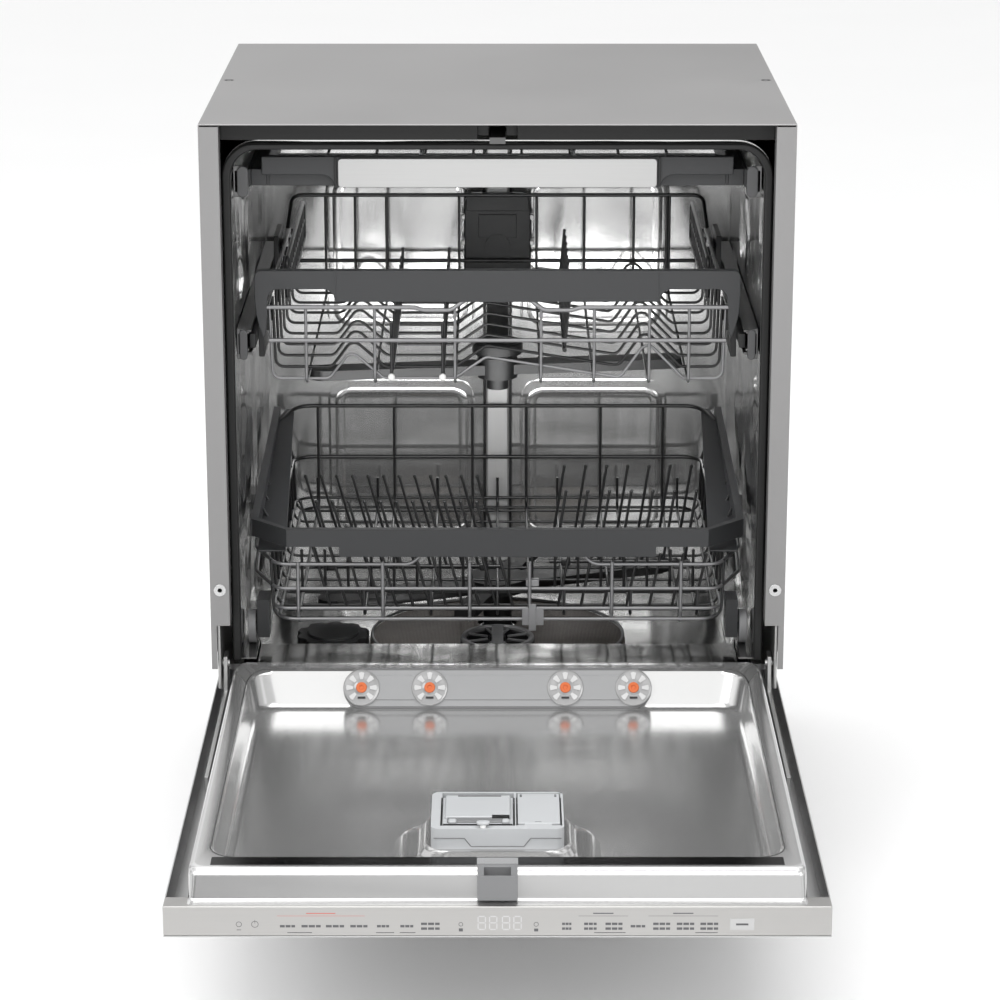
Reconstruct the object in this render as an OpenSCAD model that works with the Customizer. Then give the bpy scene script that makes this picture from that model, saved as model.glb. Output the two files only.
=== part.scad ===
// Fully integrated dishwasher, door open flat, racks in.
// Millimetres. X is the width, Y runs from the door to the wall, Z is up.
// The origin is on the floor, under the middle of the front flanges.

/* [Overall] */
// Width over the side panels
body_w = 598; // [540:1:720]
// Height from the floor to the top sheet, feet screwed in
body_h = 818; // [780:1:990]
// Depth from the front flanges to the rear sheet
body_d = 530; // [500:1:640]

/* [Cabinet] */
// Thickness of the cabinet sheet
sheet_t = 1.2; // [0.8:0.1:2]
// Width of the front flange on each side panel
flange_w = 20; // [16:1:26]
// Setback of the front beam behind the flanges
beam_back = 22; // [20:1:26]
// Height of the base tray top
base_top = 145; // [130:1:147]
// Radius of a levelling foot
foot_r = 20; // [14:1:24]

/* [Tub] */
// Gap between a side of the cabinet and the tub opening
side_gap = 29; // [27:1:34]
// Thickness of the tub sheet
tub_t = 1.5; // [1:0.1:2]
// Radius of the tub's top corners
tub_r = 28; // [20:1:40]
// Height of the tracks that the lower rack rolls on
track_z = 242; // [240:1:246]
// Height of the tub floor
floor_z = 200; // [194:1:204]

/* [Door] */
// Gap between the door and the cabinet on each side
door_gap = 1.5; // [1:0.1:3]
// Thickness of the door's outer tray
door_t = 29.5; // [26:0.5:30]
// Distance of the hinge axis behind the front flanges
hinge_y = 24.5; // [24:0.1:26]
// Radius of the hinge pins
pin_r = 4; // [3:0.1:5]

/* [Racks] */
// Thickness of the wires that frame a rack
frame_wire = 5; // [4:0.1:6]
// Thickness of the wires in between
thin_wire = 3.2; // [2.6:0.1:4]
// Space between a rack and the tub wall
rack_gap = 30; // [28:1:36]
// Height that the upper rack can be raised
lift = 45; // [20:1:50]
// Radius of the rack rollers
wheel_r = 18; // [14:0.5:18.4]

/* [Wash system] */
// Reach of the lower spray arm
lower_arm_r = 210; // [180:1:212]
// Reach of the upper spray arm
upper_arm_r = 208; // [180:1:210]
// Radius of the filter cylinder
filter_r = 41; // [34:1:44]
// Running clearance of turning pieces
run_gap = 0.08; // [0.02:0.01:0.1]

/* [Hidden] */
half_w = body_w / 2;
tub_w = half_w - side_gap;
tub_top = body_h - 31;
tub_front = 36;
tub_back_y = body_d - 30;
hinge_z = track_z - 1.5;
door_w = half_w - door_gap;
door_bottom = 185;
door_top = door_bottom + door_t;
door_len = body_h - 3 - hinge_z - hinge_y;
door_front = -door_len;
door_rear = hinge_y + 70.5;
liner_w = 276.6 + tub_w - 270;
rim_z = track_z;
pan_z = door_top;
rack_w = tub_w - rack_gap;
rack_front = 52;
rack_back = tub_back_y - 20;
centre_y = 268;
upper_z = tub_top - 252;
cut_z = tub_top - 57;
wire_gap = 0.1;
bend_gap = 0.66;
$fn = 48;

steel = [0.78, 0.78, 0.77];
grey_steel = [0.6, 0.59, 0.58];
top_grey = [0.7, 0.69, 0.68];
dark = [0.2, 0.2, 0.2];
plastic = [0.3, 0.3, 0.31];
wire_grey = [0.33, 0.34, 0.36];
pale = [0.83, 0.84, 0.85];
silver = [0.77, 0.77, 0.78];
orange = [0.91, 0.38, 0.16];
white = [0.93, 0.93, 0.92];
black = [0.1, 0.1, 0.1];

// ---- helpers ----

// A box from its low corner to its high corner.
module block(low, high) {
    translate(low) cube(high - low);
}

// The same shape on the left and on the right.
module both_sides() {
    children();
    mirror([1, 0, 0]) children();
}

// A round bar from a to b.
module bar(a, b, d) {
    v = b - a;
    translate(a)
        rotate([0, acos(v[2] / norm(v)), atan2(v[1], v[0])])
            cylinder(h = norm(v), d = d, $fn = 24);
}

// A bent wire laid out as straight lengths that stop just short of each other at the bends.
module bent_wire(points, d) {
    last = len(points) - 2;
    for (i = [0 : last]) {
        v = (points[i + 1] - points[i]) / norm(points[i + 1] - points[i]);
        start = i == 0 ? 0 : d * bend_gap;
        finish = i == last ? 0 : d * bend_gap;
        bar(points[i] + v * start, points[i + 1] - v * finish, d);
    }
}

// A flat plate with round corners, standing on z = 0.
module round_plate(w, l, h, r) {
    linear_extrude(h) rounded(w, l, r);
}

module rounded(w, l, r) {
    for (x = [-1, 1], y = [-1, 1])
        translate([x * (w / 2 - r), y * (l / 2 - r)]) circle(r = r);
    square([w - 2 * r, l], center = true);
    square([w, l - 2 * r], center = true);
}

// The outline of the tub seen from the front: square below, round at the top corners.
module arch(w, low, top, r) {
    translate([-w, low]) square([2 * w, top - low - r]);
    translate([r - w, low]) square([2 * (w - r), top - low]);
    for (x = [-1, 1])
        translate([x * (w - r), top - r]) circle(r = r);
}

// Turns an outline drawn as x and z into a solid between two depths.
module across(y_low, y_high) {
    translate([0, y_high, 0]) rotate([90, 0, 0]) linear_extrude(y_high - y_low) children();
}

// Turns an outline drawn as y and z into a solid between two widths.
module along_x(x_low, x_high) {
    translate([x_low, 0, 0]) rotate([90, 0, 90]) linear_extrude(x_high - x_low) children();
}

// ---- cabinet ----

module top_panel() {
    back_edge = body_d;
    lip = 14;
    color(top_grey) difference() {
        union() {
            block([-half_w, beam_back, body_h - sheet_t], [half_w, back_edge, body_h]);
            both_sides() block([half_w - flange_w, 0, body_h - sheet_t], [half_w, beam_back, body_h]);
            block([-half_w, back_edge, body_h - lip], [half_w, back_edge + sheet_t, body_h]);
        }
        both_sides() translate([289 / 299 * half_w, body_d / 2, body_h - 0.6]) cylinder(h = 1, r = 5);
    }
}

module side_panel() {
    foot_line = 30;
    return_x = half_w - flange_w;
    notch = 14;
    color(grey_steel) difference() {
        union() {
            block([half_w - sheet_t, 0, foot_line], [half_w, body_d, body_h - sheet_t]);
            block([return_x, 0, rim_z], [half_w, sheet_t, body_h - 3]);
            block([return_x, 0, rim_z + 48], [return_x + sheet_t, 20, body_h - 3]);
        }
        block([0, -1, 0], [half_w + 1, 118, rim_z]);
        block([return_x - 1, -1, rim_z - 1], [return_x + notch, 22, rim_z + 48]);
        translate([fix_x, -1, fix_z]) rotate([-90, 0, 0]) cylinder(h = 4, r = fix_r + 0.1);
    }
}

fix_x = half_w - 10.3;
fix_z = hinge_z + 88.5;
fix_r = 5;
fix_bore = 2.2;

module side_panel_right() {
    side_panel();
}

module side_panel_left() {
    mirror([1, 0, 0]) side_panel();
}

module side_fixing_bushes() {
    color(steel) both_sides() difference() {
        union() {
            translate([fix_x, -0.9, fix_z]) rotate([-90, 0, 0]) cylinder(h = 0.9, r = 6.5);
            translate([fix_x, 0, fix_z]) rotate([-90, 0, 0]) cylinder(h = 9, r = fix_r);
        }
        translate([fix_x, -2, fix_z]) rotate([-90, 0, 0]) cylinder(h = 14, r = fix_bore);
    }
}

module front_beam() {
    w = half_w - flange_w - 0.1;
    low = body_h - 20;
    top = body_h - sheet_t;
    color(dark) difference() {
        union() {
            block([-w, beam_back, low], [w, beam_back + 1.5, top]);
            block([-w, beam_back, top - 1.5], [w, beam_back + 40, top]);
            block([-w, beam_back, low], [w, beam_back + 20, low + 1.5]);
        }
        block([-20, beam_back - 1, low - 1], [20, beam_back + 30, low + 14]);
    }
}

module latch_housing() {
    low = body_h - 19;
    top = body_h - sheet_t - 1.6;
    color(black) difference() {
        block([-26, beam_back + 20.1, low], [26, beam_back + 48, top]);
        block([-9, beam_back + 19, low - 1], [9, beam_back + 42, top - 3]);
        translate([-30, latch_y, latch_z]) rotate([0, 90, 0]) cylinder(h = 60, r = 1.5 + run_gap);
    }
}

latch_y = beam_back + 30;
latch_z = body_h - 12;

module latch_hook() {
    color(steel) {
        translate([-26, latch_y, latch_z]) rotate([0, 90, 0]) cylinder(h = 52, r = 1.5);
        along_x(-8, 8) polygon([
            [6, body_h - 21], [11, body_h - 22], [24, body_h - 18], [latch_y + 4, body_h - 15],
            [latch_y + 4, body_h - 9], [24, body_h - 13.5], [8, body_h - 15]]);
    }
}

module rear_panel() {
    rear_bumpers();
    low = base_top + 1;
    w = half_w - sheet_t - 0.1;
    rib_y = body_d;
    color(grey_steel) {
        block([-w, body_d - sheet_t, low], [w, body_d - 0.05, body_h - sheet_t - 0.1]);
        for (x = [-1, 1], k = [0 : 2])
            block([x * w / 2 - w / 3, rib_y - 0.1, low + 60 + k * 180],
                [x * w / 2 + w / 3, rib_y + 1.2, low + 180 + k * 180]);
    }
}

module rear_bumpers() {
    color(black) both_sides() {
        for (z = [base_top + 25, body_h - 60])
            translate([half_w - 40, body_d, z]) rotate([-90, 0, 0]) cylinder(h = 20, r = 11);
    }
}

module base_tray() {
    front = 50;
    back = body_d - 5;
    w = half_w - 9;
    wall = 3;
    color(black) difference() {
        block([-w, front, 30], [w, back, base_top]);
        block([wall - w, front + wall, 30 + wall], [w - wall, back - wall, base_top + 1]);
        for (x = [-1, 1], y = [foot_front, foot_back])
            translate([x * foot_x, y, 0]) cylinder(h = 60, r = 8.1);
        translate([inlet_x, back - 10, inlet_z]) rotate([-90, 0, 0]) cylinder(h = 20, r = 19);
        translate([drain_x, back - 10, inlet_z]) rotate([-90, 0, 0]) cylinder(h = 20, r = 16);
    }
}

foot_x = half_w - 39;
foot_front = 75;
foot_back = body_d - 30;

module levelling_feet() {
    color(black) both_sides() {
        for (y = [foot_front, foot_back]) {
            translate([foot_x, y, 0]) cylinder(h = 8, r = foot_r);
            translate([foot_x, y, 8]) cylinder(h = 6, r = foot_r * 0.6, $fn = 6);
            translate([foot_x, y, 0]) cylinder(h = 62, r = 8);
        }
    }
}

module hinge_brackets() {
    inner = half_w - 9;
    outer = half_w - 6;
    color(grey_steel) both_sides() difference() {
        union() {
            along_x(inner, outer) polygon([
                [5, hinge_z - 22], [100, hinge_z - 22], [100, 35], [170, 35], [170, hinge_z + 30],
                [60, hinge_z + 48], [5, hinge_z + 48]]);
            translate([half_w - 17, hinge_y, hinge_z]) rotate([0, 90, 0]) cylinder(h = 9, r = pin_r);
        }
    }
}

module door_springs() {
    coil = 9;
    color(dark) both_sides() {
        translate([half_w - 22, 150, 62]) {
            for (k = [0 : 12])
                translate([0, 0, k * 10]) rotate_extrude() translate([coil - 1.5, 0]) circle(r = 1.5);
            translate([0, 0, -4]) cylinder(h = 132, r = coil - 2.6);
        }
    }
}

// ---- tub ----

module tub_wrapper() {
    ledge = 15;
    color(steel) {
        difference() {
            across(tub_front, tub_back_y)
                arch(tub_w + tub_t, track_z - tub_t, tub_top + tub_t, tub_r + tub_t);
            across(tub_front - 1, tub_back_y + 1) arch(tub_w, track_z - 2 * tub_t, tub_top, tub_r);
            translate([0, centre_y, tub_top - 1]) cylinder(h = 4, r = 6);
        }
        difference() {
            across(tub_front, tub_front + tub_t) arch(tub_w + 9, track_z - tub_t, tub_top + 9, tub_r + 9);
            across(tub_front - 1, tub_front + 5) arch(tub_w, track_z - 2 * tub_t, tub_top, tub_r);
        }
        both_sides()
            block([tub_w - ledge, tub_front, track_z - tub_t], [tub_w + tub_t, tub_back_y, track_z]);
    }
}

module tub_back() {
    color(steel) difference() {
        union() {
            across(tub_back_y + 0.05, tub_back_y + tub_t)
                arch(tub_w + tub_t, floor_z, tub_top + tub_t, tub_r + tub_t);
            for (x = [-1, 1], k = [0 : 1])
                translate([x * tub_w * 0.42, 0, floor_z + 130 + k * 250])
                    across(tub_back_y - 3, tub_back_y + 0.1) rounded(tub_w * 0.62, 190, 16);
        }
        for (x = [-1, 1], k = [0 : 1])
            translate([x * tub_w * 0.42, 0, floor_z + 130 + k * 250])
                across(tub_back_y - 1.5, tub_back_y + 3) rounded(tub_w * 0.62 - 5, 185, 14);
    }
}

sill_y = 98;
sill_z = track_z - 6;
salt_x = -180;
salt_y = 160;
salt_r = 40;
filter_y = 178;
sump_r = 60;
arm_hub_r = 16;

module tub_floor() {
    w = tub_w - 15.05;
    color(steel) difference() {
        union() {
            along_x(-w, w) polygon([
                [tub_front, sill_z - 18], [tub_front + tub_t, sill_z - 18], [tub_front + tub_t, sill_z - tub_t],
                [sill_y, sill_z - tub_t], [sill_y, floor_z - tub_t], [tub_back_y, floor_z - tub_t],
                [tub_back_y, floor_z], [sill_y + tub_t, floor_z], [sill_y + tub_t, sill_z],
                [tub_front, sill_z]]);
            both_sides() block([w - tub_t, sill_y, floor_z - tub_t], [w, tub_back_y, track_z - 0.05]);
        }
        translate([salt_x, salt_y, floor_z - 5]) cylinder(h = 10, r = salt_r - 8);
        translate([0, filter_y, floor_z - 5]) cylinder(h = 10, r = filter_r + 3);
        translate([0, centre_y, floor_z - 5]) cylinder(h = 10, r = arm_hub_r + 1);
    }
}

module door_gasket() {
    color(black) difference() {
        across(tub_front - 9.5, tub_front - 0.05) arch(tub_w + 8.8, track_z, tub_top + 6, tub_r + 6);
        across(tub_front - 10, tub_front + 1) arch(tub_w + 0.05, track_z - 1, tub_top - 0.05, tub_r);
    }
}

// ---- wash system under and in the tub ----

module sump() {
    color(black) difference() {
        union() {
            translate([0, filter_y, 128]) cylinder(h = floor_z - tub_t - 128, r = sump_r);
            translate([0, centre_y, 150]) cylinder(h = floor_z - tub_t - 150, r = 30);
            block([-24, filter_y, 150], [24, centre_y, floor_z - tub_t]);
        }
        translate([0, filter_y, 134]) cylinder(h = 80, r = filter_r + 3);
        translate([0, centre_y, 156]) cylinder(h = 80, r = arm_hub_r);
    }
}

module filter_plate() {
    color([0.55, 0.5, 0.45]) difference() {
        intersection() {
            translate([0, filter_y + 30, floor_z + 0.1]) cylinder(h = 4, r = 142);
            block([-150, sill_y + 3, floor_z], [150, 400, floor_z + 10]);
        }
        translate([0, filter_y, floor_z - 1]) cylinder(h = 10, r = filter_r + 2);
        translate([0, centre_y, floor_z - 1]) cylinder(h = 10, r = arm_hub_r + 6);
        translate([salt_x, salt_y, floor_z - 1]) cylinder(h = 10, r = salt_r + 8);
    }
}

module filter_cylinder() {
    color([0.35, 0.35, 0.36]) translate([0, filter_y, 0]) {
        difference() {
            translate([0, 0, 140]) cylinder(h = 62, r = filter_r - 4);
            translate([0, 0, 143]) cylinder(h = 60, r = filter_r - 7);
        }
        difference() {
            translate([0, 0, floor_z + 4.3]) cylinder(h = 8, r = filter_r);
            translate([0, 0, floor_z - 4]) cylinder(h = 20, r = filter_r - 7);
        }
        difference() {
            translate([0, 0, 200]) cylinder(h = 5, r = filter_r);
            translate([0, 0, 199]) cylinder(h = 8, r = filter_r - 7);
        }
        block([4 - filter_r, -4, floor_z + 2], [filter_r - 4, 4, floor_z + 12]);
        translate([0, 0, floor_z + 2]) cylinder(h = 16, r = 9);
    }
}

module salt_socket() {
    color(white) difference() {
        union() {
            translate([salt_x, salt_y, floor_z - 40]) cylinder(h = 40 - tub_t - 0.05, r = salt_r + 4);
            translate([salt_x, salt_y, floor_z - 5]) cylinder(h = 14, r = salt_r - 8.1);
        }
        translate([salt_x, salt_y, floor_z - 50]) cylinder(h = 80, r = salt_r - 12);
    }
}

module salt_cap() {
    lobes = 10;
    color([0.62, 0.63, 0.62]) translate([salt_x, salt_y, 0]) difference() {
        union() {
            translate([0, 0, floor_z + 9.3]) cylinder(h = 18, r = salt_r);
            translate([0, 0, floor_z - 20]) cylinder(h = 32, r = salt_r - 12 - run_gap);
            translate([0, 0, floor_z + 27]) cylinder(h = 3, r = salt_r - 12);
        }
        for (k = [0 : lobes - 1])
            rotate([0, 0, k * 360 / lobes]) translate([salt_r + 5, 0, floor_z + 8]) cylinder(h = 30, r = 9);
        translate([0, 0, floor_z - 21]) cylinder(h = 28, r = salt_r - 16);
    }
}

module lower_spray_arm() {
    arm_z = track_z + 3;
    color(black) translate([0, centre_y, 0]) {
        difference() {
            union() {
                translate([0, 0, 160]) cylinder(h = arm_z - 160, r = arm_hub_r - run_gap);
                translate([0, 0, arm_z - 1]) cylinder(h = 14, r = 34);
                for (k = [0 : 1]) rotate([0, 0, 20 + k * 180]) {
                    translate([0, -19, arm_z]) cube([lower_arm_r - 16, 38, 10]);
                    translate([lower_arm_r - 16, 0, arm_z]) cylinder(h = 10, r = 16);
                    rotate([0, 0, 52]) translate([0, -12, arm_z + 1]) cube([lower_arm_r * 0.55, 24, 9]);
                }
            }
            translate([0, 0, 150]) cylinder(h = arm_z - 146, r = arm_hub_r - 4);
        }
    }
}

module pump_impeller() {
    color(white) translate([pump_x, pump_y - 20, pump_z]) rotate([-90, 0, 0]) {
        cylinder(h = 58, r = 4);
        cylinder(h = 4, r = 30);
        for (k = [0 : 5])
            rotate([0, 0, k * 60]) block([6, -1.5, -10], [28, 1.5, 1]);
        translate([0, 0, -10]) cylinder(h = 11, r = 8);
    }
}

pump_x = 110;
pump_y = 300;
pump_z = 92;

module circulation_pump() {
    color(plastic) translate([pump_x, pump_y, pump_z]) rotate([-90, 0, 0]) difference() {
        union() {
            translate([0, 0, -38]) cylinder(h = 40, r = 40);
            cylinder(h = 100, r = 34);
            translate([0, 0, -62]) cylinder(h = 30, r = 15);
        }
        translate([0, 0, -34]) cylinder(h = 33, r = 34);
        translate([0, 0, -70]) cylinder(h = 50, r = 11);
        translate([0, 0, -10]) cylinder(h = 52, r = 4 + run_gap);
    }
}

module drain_pump() {
    drain_spigot();
    color(plastic) translate([-70, 300, 84]) rotate([-90, 0, 0]) {
        cylinder(h = 70, r = 28);
        translate([0, 0, -22]) cylinder(h = 24, r = 20);
        translate([0, 0, 60]) cylinder(h = 30, r = 9);
    }
}

inlet_x = -210;
inlet_z = 110;
drain_x = 210;
thread_r = 13.2;

module inlet_valve() {
    water_guide();
    color(white) translate([inlet_x, 0, inlet_z]) rotate([-90, 0, 0]) difference() {
        union() {
            translate([0, 0, body_d - 60]) cylinder(h = 52, r = 17);
            translate([0, 0, body_d - 10]) cylinder(h = 30, r = thread_r);
        }
        translate([0, 0, body_d - 20]) cylinder(h = 45, r = 8);
    }
}

module drain_spigot() {
    color(black) translate([drain_x, 0, inlet_z]) rotate([-90, 0, 0]) difference() {
        union() {
            translate([0, 0, body_d - 40]) cylinder(h = 32, r = 14);
            translate([0, 0, body_d - 10]) cylinder(h = 28, r = 10);
        }
        translate([0, 0, body_d - 45]) cylinder(h = 70, r = 7.5);
    }
}

module water_guide() {
    x = tub_w + tub_t + 1;
    color(white) difference() {
        block([-x - 20, 160, 300], [-x, 440, 700]);
        block([-x - 18, 170, 310], [-x - 2, 300, 690]);
        block([-x - 18, 304, 310], [-x - 2, 430, 690]);
    }
}

module softener_tank() {
    salt_socket();
    color(white) difference() {
        block([-tub_w + 25, 210, 40], [-120, 400, 140]);
        block([-tub_w + 28, 213, 43], [-123, 397, 137]);
    }
}

module feed_pipe() {
    dock_housing();
    w = 14;
    y = tub_back_y - 4;
    color(steel) {
        block([-w, y - 12, floor_z + 6], [w, y, tub_top - 4]);
        block([-w, centre_y + 28, tub_top - 14], [w, y - 12, tub_top - 4]);
    }
}

module ceiling_sprayer() {
    color(pale) translate([0, centre_y, 0]) {
        translate([0, 0, tub_top - 10]) cylinder(h = 8, r1 = 20, r2 = 26);
        translate([0, 0, tub_top - 4]) cylinder(h = 10, r = 6 - run_gap);
        translate([0, 0, tub_top - 13]) cylinder(h = 4, r = 12);
    }
}

module roller_guides() {
    guide_caps();
    x_in = tub_w - 16;
    x_out = tub_w - 0.8;
    color(pale) both_sides() {
        for (z = [upper_rail_z, cutlery_rail_z]) {
            difference() {
                block([x_in, 50, z - 13], [x_out, tub_back_y - 12, z + 13]);
                block([x_in - 1, 49, z - 10.6], [x_out - 2, tub_back_y - 20, z + 10.6]);
            }
        }
    }
}

upper_rail_z = tub_top - 205;
cutlery_rail_z = tub_top - 35;

module guide_caps() {
    x_in = tub_w - 17;
    color(plastic) both_sides() {
        for (z = [upper_rail_z, cutlery_rail_z])
            difference() {
                block([x_in + 6, 42, z - 16], [tub_w - 1.7, 49.9, z + 16]);
                block([x_in - 1, 41, z - 10.6], [tub_w - 3.6, 51, z + 10.6]);
            }
    }
}

// ---- cutlery tray ----

module cutlery_tray() {
    cutlery_rails();
    w = rack_w - 4;
    back = rack_back - 6;
    front = 66;
    low = cut_z + 13;
    top = cut_z + 42;
    wall = 2.4;
    strip = 3;
    gap = wire_gap;
    cells_x = 9;
    cells_y = 8;
    inner_w = w - wall - gap;
    inner_front = front + wall + gap;
    inner_back = back - wall - gap;
    pitch_x = 2 * inner_w / cells_x;
    pitch_y = (inner_back - inner_front) / cells_y;
    divider = inner_w / 3;
    color(plastic) {
        both_sides() {
            block([w - wall, front, low], [w, back, top]);
            block([w + gap, front, cut_z + 13], [tub_w - 18.2, back, cut_z + 30]);
            block([divider, inner_front, low + 5], [divider + wall, inner_back, top]);
        }
        for (y = [front, back - wall])
            block([-inner_w, y, low], [inner_w, y + wall, top]);
        for (i = [1 : cells_x - 1])
            block([i * pitch_x - inner_w - strip / 2, inner_front, low],
                  [i * pitch_x - inner_w + strip / 2, inner_back, low + wall]);
        for (k = [1 : cells_y - 1])
            block([-inner_w, inner_front + k * pitch_y - strip / 2, low + wall + gap],
                  [inner_w, inner_front + k * pitch_y + strip / 2, low + 2 * wall]);
    }
}

module cutlery_rails() {
    color(steel) both_sides()
        block([tub_w - 18.1, 60, cutlery_rail_z - 9], [tub_w - 5, rack_back - 10, cutlery_rail_z + 9]);
}

module cutlery_handle() {
    plate_w = 162;
    end_w = rack_w + 1;
    color(plastic) difference() {
        union() {
            block([-end_w, 56, cut_z + 26], [end_w, 65.9, cut_z + 45]);
            block([-plate_w - 10, 56, cut_z + 14], [plate_w + 10, 65.9, cut_z + 45]);
        }
        block([-plate_w, 60, cut_z + 12], [plate_w, 70, cut_z + 36]);
    }
}

module cutlery_handle_plate() {
    plate_w = 162.5;
    color(silver) difference() {
        translate([0, 0, cut_z + 28.5]) across(rack_front, 55.95) rounded(2 * plate_w, 30, 4);
        translate([0, 0, cut_z + 28.5]) across(rack_front + 1.4, 56) rounded(2 * plate_w - 3, 27, 3);
    }
}

// ---- upper rack ----

upper_back = tub_back_y - 36;
upper_front = rack_front + 8;
rim_up = 83;

module upper_rails() {
    color(steel) both_sides() difference() {
        block([tub_w - 13, 54, upper_rail_z - 10.3], [tub_w - 4, tub_back_y - 24, upper_rail_z + 10.3]);
        block([tub_w - 14, 53, upper_rail_z - 8], [tub_w - 6, tub_back_y, upper_rail_z + 8]);
    }
}

carrier_at = [130, 380];

module upper_carriers() {
    color(pale) both_sides() {
        block([tub_w - 20, 56, upper_rail_z - 7.6], [tub_w - 13.4, tub_back_y - 26, upper_rail_z + 7.6]);
        for (y = carrier_at)
            block([tub_w - 26, y - 34, upper_z + 20], [tub_w - 20, y + 34, upper_z + 96]);
    }
}

module adjuster_clips() {
    color(plastic) both_sides() for (y = carrier_at)
        block([rack_w + 1.6, y - 24, upper_z + 46], [tub_w - 26.3, y + 24, upper_z + 82]);
}

// Heights of the wavy floor wires, left to right, as shares of the half width and rise above the floor.
function upper_wave(w) = [
    [-w, rim_up], [-w, 0], [-0.74 * w, 0], [-0.645 * w, 30], [-0.5 * w, 0], [-0.19 * w, 0], [-0.03 * w, 24],
    [0.54 * w, 0], [0.655 * w, 40], [0.82 * w, 0], [w, 0], [w, rim_up]];

module upper_rack_basket() {
    upper_fixed_tines();
    adjuster_clips();
    w = rack_w - 6;
    d = frame_wire;
    count = 9;
    pitch = (upper_back - upper_front - 2 * d) / (count - 1);
    color(wire_grey) {
        for (k = [0 : count - 1])
            bent_wire([for (p = upper_wave(w)) [p[0], upper_front + d + k * pitch, upper_z + d + p[1]]],
                thin_wire);
        low = upper_z + d - thin_wire - wire_gap;
        for (x = [-0.9, -0.34, 0.34, 0.9] * w)
            bent_wire([[x, upper_front, upper_z + rim_up - d], [x, upper_front, low], [x, upper_back, low],
                [x, upper_back, upper_z + 112]], thin_wire);
        for (z = [48, rim_up])
            bar([1 - w, upper_front - frame_wire, upper_z + z],
                [w - 1, upper_front - frame_wire, upper_z + z], d);
        for (z = [41, 116])
            bar([-w - 1, upper_back + frame_wire, upper_z + z],
                [w + 1, upper_back + frame_wire, upper_z + z], d);
        both_sides()
            bar([w + 5, upper_front + 4, upper_z + 76], [w + 5, upper_back, upper_z + 76], d);
        for (x = [-0.68, -0.19, 0.19, 0.42, 0.66] * w)
            bar([x, upper_back, upper_z + 14], [x, upper_back, upper_z + 118], thin_wire);
    }
}

module upper_rack_handle() {
    w = 167;
    ear = rack_w + 8;
    y = rack_front;
    color(plastic) {
        difference() {
            union() {
                translate([0, 0, upper_z + 105]) across(y, y + 7) rounded(2 * w, 32, 8);
                block([-ear, y, upper_z + 102], [ear, y + 7, upper_z + 121]);
                both_sides() block([ear - 14, y, upper_z + 32], [ear, y + 7, upper_z + 121]);
            }
            translate([0, 0, upper_z + 102]) across(y + 3, y + 8) rounded(2 * w - 12, 22, 6);
        }
    }
}

module upper_tines() {
    y0 = upper_front + 40;
    y1 = upper_back - 30;
    count = 10;
    pitch = (y1 - y0 - 20) / (count - 1);
    color(wire_grey) {
        bar([tine_x, y0, upper_z + tine_z], [tine_x, y1, upper_z + tine_z], frame_wire);
        for (k = [0 : count - 1])
            bar([tine_x, y0 + 10 + k * pitch, upper_z + tine_z + frame_wire / 2 + 0.4],
                [tine_x + 6, y0 + 10 + k * pitch, upper_z + tine_z + 62], thin_wire);
    }
}

tine_x = 0.31 * rack_w - 4;
tine_z = 26;

module upper_fixed_tines() {
    y0 = upper_front + 40;
    y1 = upper_back - 30;
    count = 8;
    pitch = (y1 - y0) / (count - 1);
    color(wire_grey) {
        for (x = [-0.46, -0.24] * rack_w, k = [0 : count - 1])
            bar([x, y0 + k * pitch + 6, upper_z + frame_wire + thin_wire],
                [x, y0 + k * pitch + 6, upper_z + 52], thin_wire);
    }
    color(white) for (x = [-0.46, -0.24] * rack_w, k = [0, count - 1])
        translate([x, y0 + k * pitch + 6, upper_z + 52.1]) cylinder(h = 9, r = 3);
}

shelf_z = upper_z + 78;
shelf_x = rack_w - 22;

module cup_shelf() {
    y0 = upper_front + 60;
    y1 = upper_back - 40;
    color(wire_grey) difference() {
        block([shelf_x, y0, shelf_z], [shelf_x + 5, y1, shelf_z + 44]);
        for (k = [0 : 7])
            block([shelf_x - 1, y0 + 8 + k * (y1 - y0 - 8) / 8, shelf_z + 8],
                [shelf_x + 6, y0 + (k + 1) * (y1 - y0 - 8) / 8, shelf_z + 38]);
    }
    color(wire_grey) translate([shelf_x + 2.5, y0 - 6, shelf_z - 1])
        rotate([-90, 0, 0]) cylinder(h = y1 - y0 + 12, r = 2.4);
}

module cup_shelf_right() {
    cup_shelf();
}

module cup_shelf_left() {
    mirror([1, 0, 0]) cup_shelf();
}

module dock_housing() {
    y = tub_back_y - 16.1;
    color(plastic) difference() {
        translate([0, 0, upper_z + 69]) across(y - 11.4, y) rounded(76, 100, 18);
        translate([0, 0, upper_z + 40]) across(y - 15, y - 4) rounded(30, 40, 14);
    }
}

pipe_z = upper_z - 12;

module upper_spray_pipe() {
    color(plastic) {
        difference() {
            union() {
                translate([-13, centre_y, pipe_z - 6]) cube([26, upper_back - centre_y + 4, 13]);
                translate([0, centre_y, pipe_z - 6]) cylinder(h = 13, r = 28);
            }
            translate([0, centre_y, pipe_z - 7]) cylinder(h = 20, r = 8);
        }
    }
}

module upper_spray_arm() {
    z = upper_z - 45;
    color([0.45, 0.46, 0.48]) translate([0, centre_y, 0]) {
        translate([0, 0, z]) cylinder(h = 24, r = 22);
        translate([0, 0, z - 13]) cylinder(h = 14, r = 12);
        translate([0, 0, z + 20]) cylinder(h = pipe_z + 6 - z - 20, r = 8 - run_gap);
        translate([0, 0, pipe_z + 7.3]) cylinder(h = 3, r = 7.9);
        translate([0, 0, pipe_z + 5]) cylinder(h = 3, r = 7);
        rotate([0, 0, 8]) {
            translate([-upper_arm_r + 15, -15, z + 5]) cube([2 * upper_arm_r - 30, 30, 11]);
            for (x = [-1, 1]) translate([x * (upper_arm_r - 15), 0, z + 5]) cylinder(h = 11, r = 15);
        }
    }
}

// ---- lower rack ----

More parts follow.
